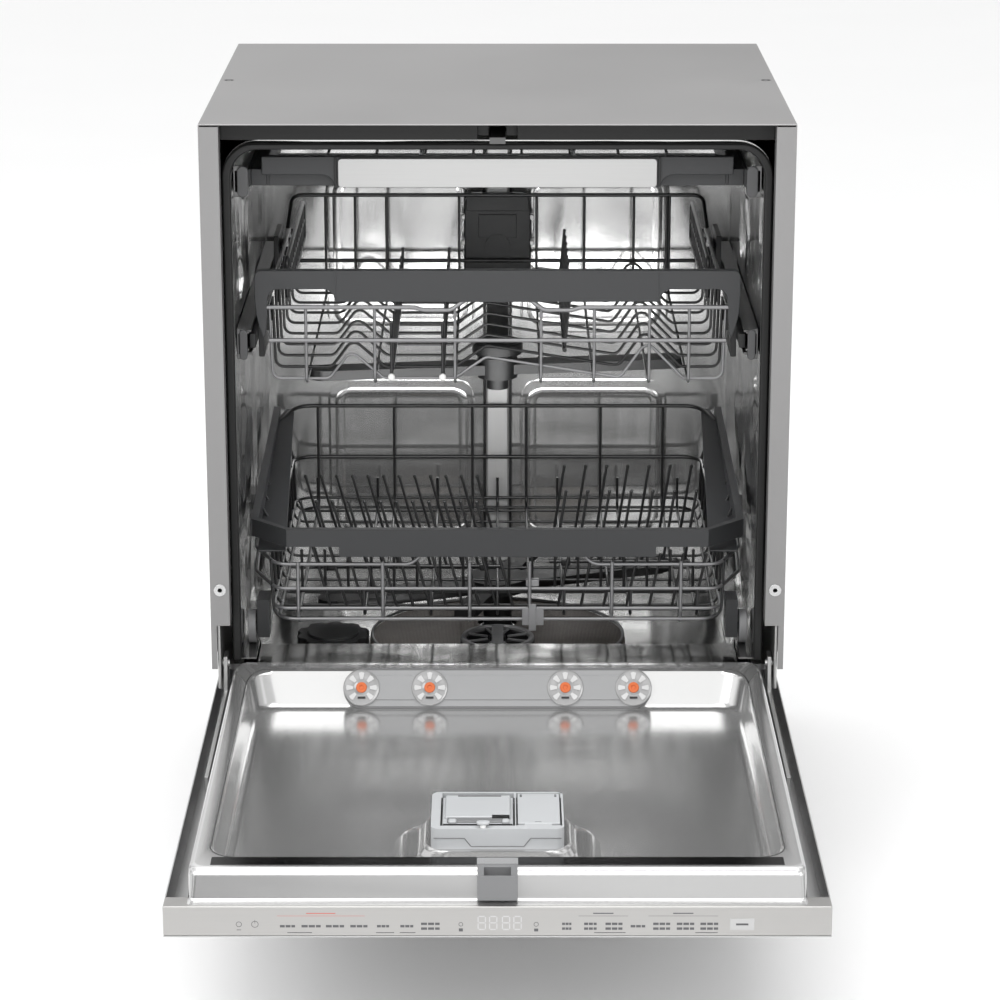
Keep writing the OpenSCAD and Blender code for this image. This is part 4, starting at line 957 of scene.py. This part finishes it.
def cupShelf(node, body):
    # a wire shelf: two long rails joined by bent cross wires
    low, high = boxMm(node)
    x = (low[0] + high[0]) / 2
    front, back = low[1] + 6, high[1] - 6
    bottom, top = low[2] + 2.4, high[2] - 2.4
    frameLoop = [loop([point(x, front, bottom), point(x, back, bottom), point(x, back, top),
                       point(x, front, top)])]
    bars = []
    count = 12
    for k in range(1, count):
        y = front + k * (back - front) / count
        bars.append([point(x, y, bottom), point(x, y, top)])
    middle = [[point(x, front, (bottom + top) / 2), point(x, back, (bottom + top) / 2)]]
    pins = [[point(x, low[1] + 1, bottom), point(x, high[1] - 1, bottom)]]
    mesh = joined([wires(frameLoop, 2.2 * mm, "wire", 8 * mm), wires(bars + middle, 1.5 * mm, "wire"),
                   wires(pins, 2.2 * mm, "wire")])
    addPiece(node + "Wires", mesh, body, "wire", (node,), 60)


say("racks")
lowerBasket()
for rowNode, rowBody in (("lower_tines_left_back", "tines_left_back"),
                         ("lower_tines_left_front", "tines_left_front"),
                         ("lower_tines_right_back", "tines_right_back"),
                         ("lower_tines_right_front", "tines_right_front")):
    tineRow(rowNode, rowBody)
softened("lower_rack_handle", "lower_rack", "grip", 2.4, 3)
softened("lower_wheels_front", "front_rollers", "greyPlastic", 0.8, 2)
softened("lower_wheels_rear", "rear_rollers", "greyPlastic", 0.8, 2)
upperBasket()
upperTineRow()
cupShelf("cup_shelf_left", "left_shelf")
cupShelf("cup_shelf_right", "right_shelf")


def upperHandle():
    # one moulded bar: deep middle, thinner shoulders, and ears that curve down to a point
    grip = {"middle": 167, "low": 624, "step": 637.4, "top": 657, "edge": 2.6}
    right = ([(0, grip["low"]), (grip["middle"] - 1, grip["low"])]
             + curve((grip["middle"] + 13, grip["low"]), (13, 13.4), 180, 90)
             + [(226, grip["step"])] + curve((226, grip["step"] - 12), (11, 12), 90, 0, 5)
             + [(237.6, 606), (239, 592), (240.6, 586.5), (242.5, 588), (246, 598), (249, 612), (250, 628),
                (250, 646)]
             + curve((243, 650), (7, 7), 0, 90, 5) + [(0, grip["top"])])
    bar = bevelled(facing(mirrored(right), 52.2, 63), grip["edge"] * mm, 4, 24)
    seams = [boxAt(side * 166 - 0.9, side * 166 + 0.9, 51.8, 60, 626.5, 654.5, 0.4) for side in (-1, 1)]
    addPiece("upperHandleBar", joined([bar]), "upper_rack", "grip", ("upper_rack_handle",), 50)
    addPiece("upperHandleRibs", joined(seams), "upper_rack", "grip")


upperHandle()
softened("upper_rails", "upper_rail", "gripSteel", 0.5)
softened("upper_carriers", "upper_carrier", "darkPlastic", 1.0)
softened("upper_spray_pipe", "upper_rack", "darkPlastic", 2.0, 3)
softened("upper_spray_arm", "upper_arm", "darkPlastic", 2.0, 3)
softened("cutlery_tray", "cutlery", "grip", 0.5)


def cutleryHandle():
    # dark moulding behind the bright plate, with a shoulder curving up at each side
    grip = {"low": 743.2, "step": 756, "top": 775}
    right = ([(0, grip["low"]), (166.5, grip["low"])] + curve((180, grip["low"]), (13.5, 12.8), 180, 90)
             + [(240.5, grip["step"]), (240.5, grip["top"]), (0, grip["top"])])
    bar = bevelled(facing(mirrored(right), 55.9, 65.6), 2.2 * mm, 4, 24)
    addPiece("cutleryGripBar", bar, "cutlery", "grip", ("cutlery_handle",), 50)
    ribs = [boxAt(side * 165.2 - 1.1, side * 165.2 + 1.1, 53.4, 60, 744.2, 774, 0.5) for side in (-1, 1)]
    addPiece("cutleryGripRibs", joined(ribs), "cutlery", "blackPlastic")


cutleryHandle()
softened("cutlery_handle_plate", "cutlery", "gripSteel", 0.8, 2)


def ring(x, front, back, radius, z, lift=0.0, steps=10):
    # a rounded rectangle of points at one height; its rear edge can stand higher
    points = []
    middle = (front + back) / 2
    for px, py in roundedOutline(2 * x, back - front, radius, steps):
        y = middle + py
        share = min(1, max(0, (y - (back - radius)) / radius))
        points.append(point(px, y, z + lift * share * share * (3 - 2 * share)))
    return points


def innerDoor():
    liner = {"rimIn": 258.5, "rimOut": 276.4, "panIn": 250, "panDeep": 27.5, "cornerOut": 8, "cornerIn": 26,
             "wall": 1.0, "latchHalf": 18}
    low, high = boxMm("inner_door")
    front = low[1]
    rimZ = high[2] - 7
    panZ = rimZ - liner["panDeep"]
    back = 9.8
    out = liner["rimOut"]
    rings = [ring(out, front, back, 4, panZ - 1),
             ring(out, front, back, 4, panZ),
             ring(out, front + 8.5, back, 5, panZ + 0.3),
             ring(out, front + 10.5, back, 6, panZ + 2),
             ring(out - 0.1, front + 15, back - 1, liner["cornerOut"], rimZ - 7, 0),
             ring(out - 0.6, front + 17.5, back - 2, liner["cornerOut"] + 1, rimZ - 2.2, 0),
             ring(out - 2.6, front + 21, back - 4, liner["cornerOut"] + 2, rimZ - 0.3, 5),
             ring(out - 5, front + 24, back - 8, liner["cornerOut"] + 4, rimZ, 7),
             ring(liner["rimIn"] + 3, front + 42, back - 24, liner["cornerIn"], rimZ, 7),
             ring(liner["rimIn"] + 0.4, front + 45.4, back - 31, liner["cornerIn"], rimZ - 1.0, 6.4),
             ring(liner["rimIn"] - 1.2, front + 47.4, back - 33, liner["cornerIn"], rimZ - 3.4, 6),
             ring(liner["panIn"] + 2.5, front + 54, back - 49, liner["cornerIn"] + 2, panZ + 6, 0),
             ring(liner["panIn"] + 0.5, front + 56.4, back - 51.5, liner["cornerIn"] + 2, panZ + 1.8, 0),
             ring(liner["panIn"] - 3, front + 60, back - 55, liner["cornerIn"] + 2, panZ + 0.1, 0),
             ring(liner["panIn"] - 8, front + 65, back - 60, liner["cornerIn"] + 2, panZ, 0)]
    latchHalf = liner["latchHalf"]
    pocket = box(point(-latchHalf, front - 2, rimZ - 24), point(latchHalf, front + 28, rimZ + 8))
    mesh = drilled("liner", lofted(rings, closed=False), pocket, "EXACT", liner["wall"] * mm)
    addPiece("innerDoorPanel", mesh, "door", "linerSteel", ("inner_door",), 40)
    # painted reflection: the dark strips on the rim's flat front face stand in for the dark tub mirrored in
    # polished steel, and the thin dark line round the rim is painted shade in the groove between rim and pan
    strips = [boxAt(-257, -18.4, front + 25.5, front + 43.5, rimZ - 0.6, rimZ + 0.25, 0.3),
              boxAt(18.4, 257, front + 25.5, front + 43.5, rimZ - 0.6, rimZ + 0.25, 0.3)]
    line = ring(liner["rimIn"] + 1.6, front + 43.6, back - 27, liner["cornerIn"], rimZ - 0.45, 6.4)
    grooveShade = wires([loop(line)], 0.5 * mm, "darkReflectionSteel", 0.3 * mm, 8, 1)
    addPiece("linerRimBand", joined(strips + [grooveShade]), "door", "darkReflectionSteel", (), 40)


say("door")
innerDoor()
softened("door_outer_panel", "door", "doorSteel", 0.4)
softened("door_striker", "door", "midPlastic", 0.8, 3)
softened("dispenser_body", "door", "dispenser", 1.2, 3)
softened("dispenser_button", "release_button", "whitePlastic", 0.6, 3)
softened("hinge_arms", "door", "zinc", 0.4)


def segmentDigit(x, z, tall):
    # one seven-segment digit built from thin bars: middle, height, and 1 for a level bar
    wide = tall * 0.52
    bars = ((0, tall, 1), (wide / 2, tall * 0.75, 0), (wide / 2, tall * 0.25, 0), (0, 0, 1),
            (-wide / 2, tall * 0.25, 0), (-wide / 2, tall * 0.75, 0), (0, tall / 2, 1))
    made = []
    for dx, dz, flat in bars:
        sx, sz = (wide / 2 - 0.7, 0.42) if flat else (0.42, tall / 4 - 0.6)
        made.append((x + dx - sx, x + dx + sx, z + dz - sz, z + dz + sz))
    return made


def controlPanel():
    # a brushed strip along the door's top edge, with plain printed marks and a digit window
    low, high = boxMm("control_panel")
    strip = {"pitch": 21.2, "firstProgramme": -186, "firstOption": 62, "names": 8.9, "lineStep": 4.6,
             "captions": 3.6, "heads": 19.4, "digitX": -14, "digitStep": 10.2, "digitTall": 12.5}
    front = low[1]
    slab = bevelled(box(point(low[0], front, low[2]), point(high[0], high[1], high[2])), 1.2 * mm, 4)
    addPiece("controlStrip", slab, "door", "stripSteel", ("control_panel",), 40)
    base = low[2]

    def marks(cells):
        return [box(point(x0, front - 0.06, base + z0), point(x1, front + 0.3, base + z1)) for x0, x1, z0,
                z1 in cells]

    ink = []
    programmes = ((7.5, 1), (9.5, 1), (9, 1), (8.5, 1), (6, 1), (6.4, 1), (9.2, 2))
    options = ((4.6, 2), (6.2, 2), (8.4, 2), (7.2, 1), (8.4, 2), (8.6, 2), (8.8, 2))
    for first, words in ((strip["firstProgramme"], programmes), (strip["firstOption"], options)):
        for k, (length, lines) in enumerate(words):
            x = first + k * strip["pitch"]
            for line in range(lines):
                z = strip["names"] + (line - (lines - 1) / 2) * strip["lineStep"]
                for part in range(3):
                    start = x - length + part * length * 0.68
                    ink.append((start, start + length * (0.58 if part < 2 else 0.44), z - 0.4, z + 1.9))
    for x, length in ((-176, 11), (-100, 8), (-80, 7), (100, 14), (186, 10)):
        ink.append((x - length, x + length, strip["captions"] - 0.5, strip["captions"] + 0.2))
    for x0, x1 in ((72, 116), (134, 196)):
        ink.append((x0, x1, strip["heads"], strip["heads"] + 0.28))
        ink.append(((x0 + x1) / 2 - 9, (x0 + x1) / 2 + 9, strip["heads"] + 2.2, strip["heads"] + 3.2))
    addPiece("printedMarks", joined(marks(ink)), "door", "ink")
    red = [(-196, -118, strip["heads"], strip["heads"] + 0.3),
           (-170, -144, strip["heads"] + 2.2, strip["heads"] + 3.0)]
    addPiece("redMarks", joined(marks(red)), "door", "redInk")
    ghost = []
    for k in range(4):
        x = strip["digitX"] + k * strip["digitStep"] + (1.2 if k > 1 else 0)
        ghost += segmentDigit(x, 6.6, strip["digitTall"])
    addPiece("ghostDigits", joined(marks(ghost)), "door", "ghost")
    icons = []
    ringPlaces = ((-230, 2.6), (-215.7, 3.2), (-32.6, 2.0), (34.4, 2.2))
    for x, radius in ringPlaces:
        spin = Matrix.Translation(point(x, front + 0.25, base + 11.5)) @ quarterTurn
        icons.append(moved(lathe([((radius - 0.5) * mm, 0), (radius * mm, 0), (radius * mm, 0.31 * mm),
                                  ((radius - 0.5) * mm, 0.31 * mm), ((radius - 0.5) * mm, 0)], 28), spin))
    icons += marks([(-215.9, -215.5, 12.2, 15.6), (-34.4, -30.8, 4.6, 7.6), (32.6, 36.2, 4.6, 7.4),
                    (-232, -228, 5.8, 6.4)])
    addPiece("stripIcons", joined(icons), "door", "ink")
    key = bevelled(box(point(206.8, front - 0.22, base + 6), point(228.2, front + 0.3, base + 17)),
                   0.2 * mm, 2)
    addPiece("startKey", key, "door", "keyPlastic")
    addPiece("startMark", joined(marks([(212, 223, 10.6, 12.4)])), "door", "ink")
    bpy.data.objects["startMark"].data.transform(Matrix.Translation((0, -0.25 * mm, 0)))


def steamBar():
    # a stadium-shaped cover on the slope at the door's foot, with four clear nozzle heads
    bar = {"half": 160, "tall": 43, "slope": 62.4, "out": 19}
    lean = Matrix.Translation(point(0, -40, 214.5)) @ Matrix.Rotation(math.radians(bar["slope"]), 4, "X")
    tilt = lean @ Matrix.Translation(point(0, bar["out"], 1.7))

    def stadium(grow, low, high):
        outline = [(x * mm, y * mm) for x,
                   y in roundedOutline(2 * (bar["half"] + grow), bar["tall"] + 2 * grow,
                                      bar["tall"] / 2 + grow - 0.05, 14)]
        return moved(prism(outline, (high - low) * mm), Matrix.Translation((0, 0, low * mm)))

    rim = bevelled(stadium(0, 0, 3.2), 1.0 * mm, 3)
    addPiece("steamBarRim", rim, "door", "rimPlastic", ("steam_bar",), 50)
    field = stadium(-2.6, 2.2, 3.6)
    band = boxAt(-138, 138, -12.2, 13.5, 2.4, 4.6, 0.8, 3)
    addPiece("steamBarBand", joined([bevelled(field, 0.5 * mm, 2), band]), "door", "steamBar")
    discs, petals, jets, slots = [], [], [], []
    for x in (-141, -70.3, 70.3, 141):
        place = Matrix.Translation(point(x, 0.5, 3.0))
        discs.append(moved(lathe([(0, 0), (18.4 * mm, 0), (19.0 * mm, 0.8 * mm), (19.0 * mm, 2.2 * mm),
                                  (18.0 * mm, 3.0 * mm),
                                  (16.4 * mm, 2.5 * mm), (9 * mm, 1.7 * mm), (7.2 * mm, 2.9 * mm),
                                  (0, 2.9 * mm)], 56), place))
        for k in range(8):
            if k == 6:
                continue
            wedge = prism([(8.6 * mm, -1.4 * mm), (15.4 * mm, -2.9 * mm), (16.2 * mm, 0),
                           (15.4 * mm, 2.9 * mm), (8.6 * mm, 1.4 * mm)], 1.5 * mm)
            petals.append(moved(wedge, place @ Matrix.Rotation(math.radians(45 * k), 4, "Z")
                                @ Matrix.Translation((0, 0, 1.6 * mm))))
        jets.append(moved(lathe([(0, 2.4 * mm), (5.4 * mm, 2.4 * mm), (5.6 * mm, 4.0 * mm),
                                 (5.0 * mm, 4.7 * mm), (2.6 * mm, 4.8 * mm),
                                 (2.2 * mm, 3.9 * mm), (0, 3.9 * mm)], 40), place))
        slots.append(moved(box((-4 * mm, -11.4 * mm, 1.8 * mm), (4 * mm, -9.4 * mm, 3.0 * mm)), place))
    for name, parts, finish, replaced in (("nozzleDiscs", discs, "steamDisc", ("steam_nozzles",)),
                                          ("nozzlePetals", petals, "petal", ()),
                                          ("nozzleJets", jets, "orange", ()),
                                          ("nozzleSlots", slots, "blackPlastic", ())):
        addPiece(name, joined(parts), "door", finish, replaced, 40)
    for name in ("steamBarRim", "steamBarBand", "nozzleDiscs", "nozzlePetals", "nozzleJets", "nozzleSlots"):
        bpy.data.objects[name].data.transform(tilt)


def dispenserDetails():
    # the collar pressed in the liner, the detergent lid's mechanism and the rinse aid flap
    low, high = boxMm("dispenser_body")
    top = high[2]
    pan = 214.5
    front, back = low[1], high[1]
    steps = ((96, 12, pan - 0.6), (95, 13, pan + 0.4), (91, 11, pan + 6), (87, 8, pan + 10.5),
             (81, 6, pan + 12.6),
             (74, 4, pan + 13.6), (70.5, 3, pan + 17), (68, 2, pan + 22), (65, 0, pan + 25.4),
             (61, -1, pan + 26.6), (56, -3, pan + 26.6))
    rings = [ring(half, front - 6, back + deep, min(26, half / 3), z, 0) for half, deep, z in steps]
    obj = temporary("collar", lofted(rings, closed=False))
    wall = obj.modifiers.new("wall", "SOLIDIFY")
    wall.thickness = 0.8 * mm
    addPiece("dispenserCollar", evaluated(obj), "door", "linerSteel", (), 50)

    lidFront, lidBack = boxMm("detergent_lid")[0][1], boxMm("detergent_lid")[1][1]
    slab = [boxAt(-50.4, 14.4, lidFront, lidBack - 8, top - 3.4, top - 1.2, 0.8, 3),
            boxAt(-48, 12, lidFront + 17, lidBack - 7.5, top - 3, top + 1.2, 1.6, 3)]
    addPiece("detergentLidPlate", joined(slab), "detergent_cover", "dispenser", ("detergent_lid",), 40)
    trim = [boxAt(-36.5, 3.5, lidBack - 12, lidBack - 9, top + 0.6, top + 1.9, 0.4),
            boxAt(-46, 10, lidFront + 8, lidFront + 18, top - 2.6, top + 0.4, 1.0, 3)]
    addPiece("detergentLidTrim", joined(trim), "detergent_cover", "midPlastic")
    darks = [boxAt(-5, 11, lidFront + 15, lidFront + 21, top - 0.4, top + 1.6, 0.4),
             boxAt(-49.6, 13.6, lidFront + 1, lidFront + 5.4, top - 2.4, top - 0.9, 0.3)]
    addPiece("detergentLidSlots", joined(darks), "detergent_cover", "blackPlastic")
    knobs = [boxAt(-44.6, -37.4, lidFront + 5, lidFront + 12, top - 2, top + 1.8, 1.4, 4),
             boxAt(4.4, 10.6, lidFront + 5, lidFront + 12, top - 2, top + 1.8, 1.4, 4)]
    y0, y1 = lidFront - 1.4, lidBack - 12
    gaps = [boxAt(x0, x1, y0, y1, top - 1.5, top + 0.2, 0.1) for x0,
            x1 in ((-52, -50.8), (14.8, 15.9), (17.0, 17.7), (57.9, 58.6))]
    gaps.append(boxAt(-52, 15.9, y0, y0 + 1.2, top - 1.5, top + 0.2, 0.2))
    addPiece("dispenserGaps", joined(gaps), "door", "blackPlastic")
    face = [[point(-58, front - 0.1, top - 9), point(-30, front - 0.1, top - 9),
             point(-24, front - 0.1, top - 17),
             point(24, front - 0.1, top - 17), point(30, front - 0.1, top - 9),
             point(58, front - 0.1, top - 9)]]
    addPiece("dispenserLine", wires(face, 0.5 * mm, "midPlastic", 1.5 * mm), "door", "midPlastic", (), 60)
    addPiece("detergentLidKnobs", joined(knobs), "detergent_cover", "dispenser")
    oval = [(x * mm, y * mm) for x, y in roundedOutline(12, 7, 3.4, 8)]
    cap = bevelled(moved(prism(oval, 2.6 * mm), Matrix.Translation(point(-13, front + 4.4, top + 2.9))),
                   0.9 * mm, 4)
    stem = moved(lathe([(0, -2 * mm), (2.5 * mm, -2 * mm), (2.5 * mm, 3.2 * mm), (0, 3.2 * mm)], 24),
                 Matrix.Translation(point(-13, front + 4.4, top)))
    addPiece("catchKnob", joined([cap, stem]), "release_button", "dispenser")

    flap = [boxAt(18.4, 57.2, lidFront + 4, lidBack - 2, top - 3.4, top + 0.3, 0.9, 3),
            boxAt(24.6, 49.6, lidFront - 2.6, lidFront + 5, top - 3.6, top - 0.2, 0.9, 3)]
    addPiece("rinseLidPlate", joined(flap), "rinse_cover", "dispenser", ("rinse_lid",), 40)
    vents = [boxAt(x - 1, x + 1, lidBack - 10 + 3.2 * k, lidBack - 8 + 3.2 * k, top - 0.4, top + 0.45, 0.1)
             for x in (21.6, 53.6) for k in (0, 1)]
    vents += [boxAt(34, 40, lidFront + 6.6, lidFront + 7.4, top - 0.3, top + 0.4, 0.1),
              boxAt(22.6, 51.6, lidFront - 3.4, lidFront - 2.7, top - 5.5, top - 0.6, 0.1)]
    addPiece("rinseLidVents", joined(vents), "rinse_cover", "blackPlastic")


controlPanel()
steamBar()
dispenserDetails()


say("studio")


def areaLight(name, place, target, size, power, tint=(1, 1, 1)):
    data = bpy.data.lights.new(name, "AREA")
    data.shape = "RECTANGLE"
    data.size, data.size_y = size
    data.energy = power
    data.color = tint
    lamp = bpy.data.objects.new(name, data)
    lamp.location = place
    lamp.visible_camera = False
    lamp.rotation_euler = (Vector(target) - Vector(place)).to_track_quat("-Z", "Y").to_euler()
    bpy.context.scene.collection.objects.link(lamp)


def studio():
    ground = bpy.data.meshes.new("studioFloor")
    ground.from_pydata([(-16, -16, 0), (16, -16, 0), (16, 16, 0), (-16, 16, 0)], [], [(0, 1, 2, 3)])
    finish = Finish("studioFloor", roughness=0.6)
    finish.set("Base Color", finish.noise(2, 2, 0.5).tint((0.90, 0.90, 0.90), (0.92, 0.92, 0.92)))
    ground.materials.append(finish.material)
    floor = bpy.data.objects.new("studioFloor", ground)
    bpy.context.scene.collection.objects.link(floor)
    world = bpy.data.worlds.new("studio")
    bpy.context.scene.world = world
    world.use_nodes = True
    tree = world.node_tree
    heading = Field(tree, tree.nodes.new("ShaderNodeTexCoord").outputs["Generated"])
    panels = heading.node("ShaderNodeTexNoise", None,
                          {"Vector": heading, "Scale": 2.3, "Detail": 1.0, "Roughness": 0.4})
    height = heading.node("ShaderNodeSeparateXYZ", None, {"Vector": heading}, 2)
    glow = panels.node("ShaderNodeMapRange", {"interpolation_type": "SMOOTHSTEP"},
                       {"Value": panels, "From Min": 0.44, "From Max": 0.56, "To Min": 0.24, "To Max": 0.95})
    sky = height.node("ShaderNodeMapRange", {"interpolation_type": "SMOOTHSTEP"},
                      {"Value": height, "From Min": 0.15, "From Max": 0.9, "To Min": 0.0, "To Max": 0.55})
    tree.links.new((glow + sky).socket, tree.nodes["Background"].inputs["Strength"])
    tree.nodes["Background"].inputs["Color"].default_value = (1, 1, 1, 1)
    areaLight("keyLight", (-1.9, -2.2, 2.7), (0, 0, 0.4), (1.7, 1.3), 34)
    areaLight("fillLight", (2.1, -2.3, 2.0), (0, 0, 0.4), (1.5, 1.5), 10)
    areaLight("frontLight", (0, -3.0, 2.2), (0, 0.3, 0.4), (2.6, 1.0), 5.5)
    areaLight("cavityLight", (0, -0.95, 0.62), (0, 0.5, 0.46), (0.7, 0.4), 1.5)
    areaLight("upperLight", (0, 0.085, 0.786), (0, 0.5, 0.55), (0.42, 0.02), 0.25)
    areaLight("lowerLight", (0, 0.10, 0.46), (0, 0.5, 0.38), (0.42, 0.06), 0.7)
    areaLight("topLight", (0, -0.2, 3.2), (0, -0.2, 0.3), (2.4, 2.4), 40)


def camera():
    view = {"lens": 116.8, "pitch": 16.62, "place": (0, -3.206, 1.384), "shiftX": 0.0025}
    data = bpy.data.cameras.new("camera")
    data.lens = view["lens"]
    data.sensor_width = 36
    data.shift_x = view["shiftX"]
    data.clip_end = 60
    shooter = bpy.data.objects.new("camera", data)
    shooter.location = view["place"]
    shooter.rotation_euler = (math.radians(90 - view["pitch"]), 0, 0)
    bpy.context.scene.collection.objects.link(shooter)
    bpy.context.scene.camera = shooter
    bpy.context.scene.view_settings.view_transform = "Standard"


studio()
camera()
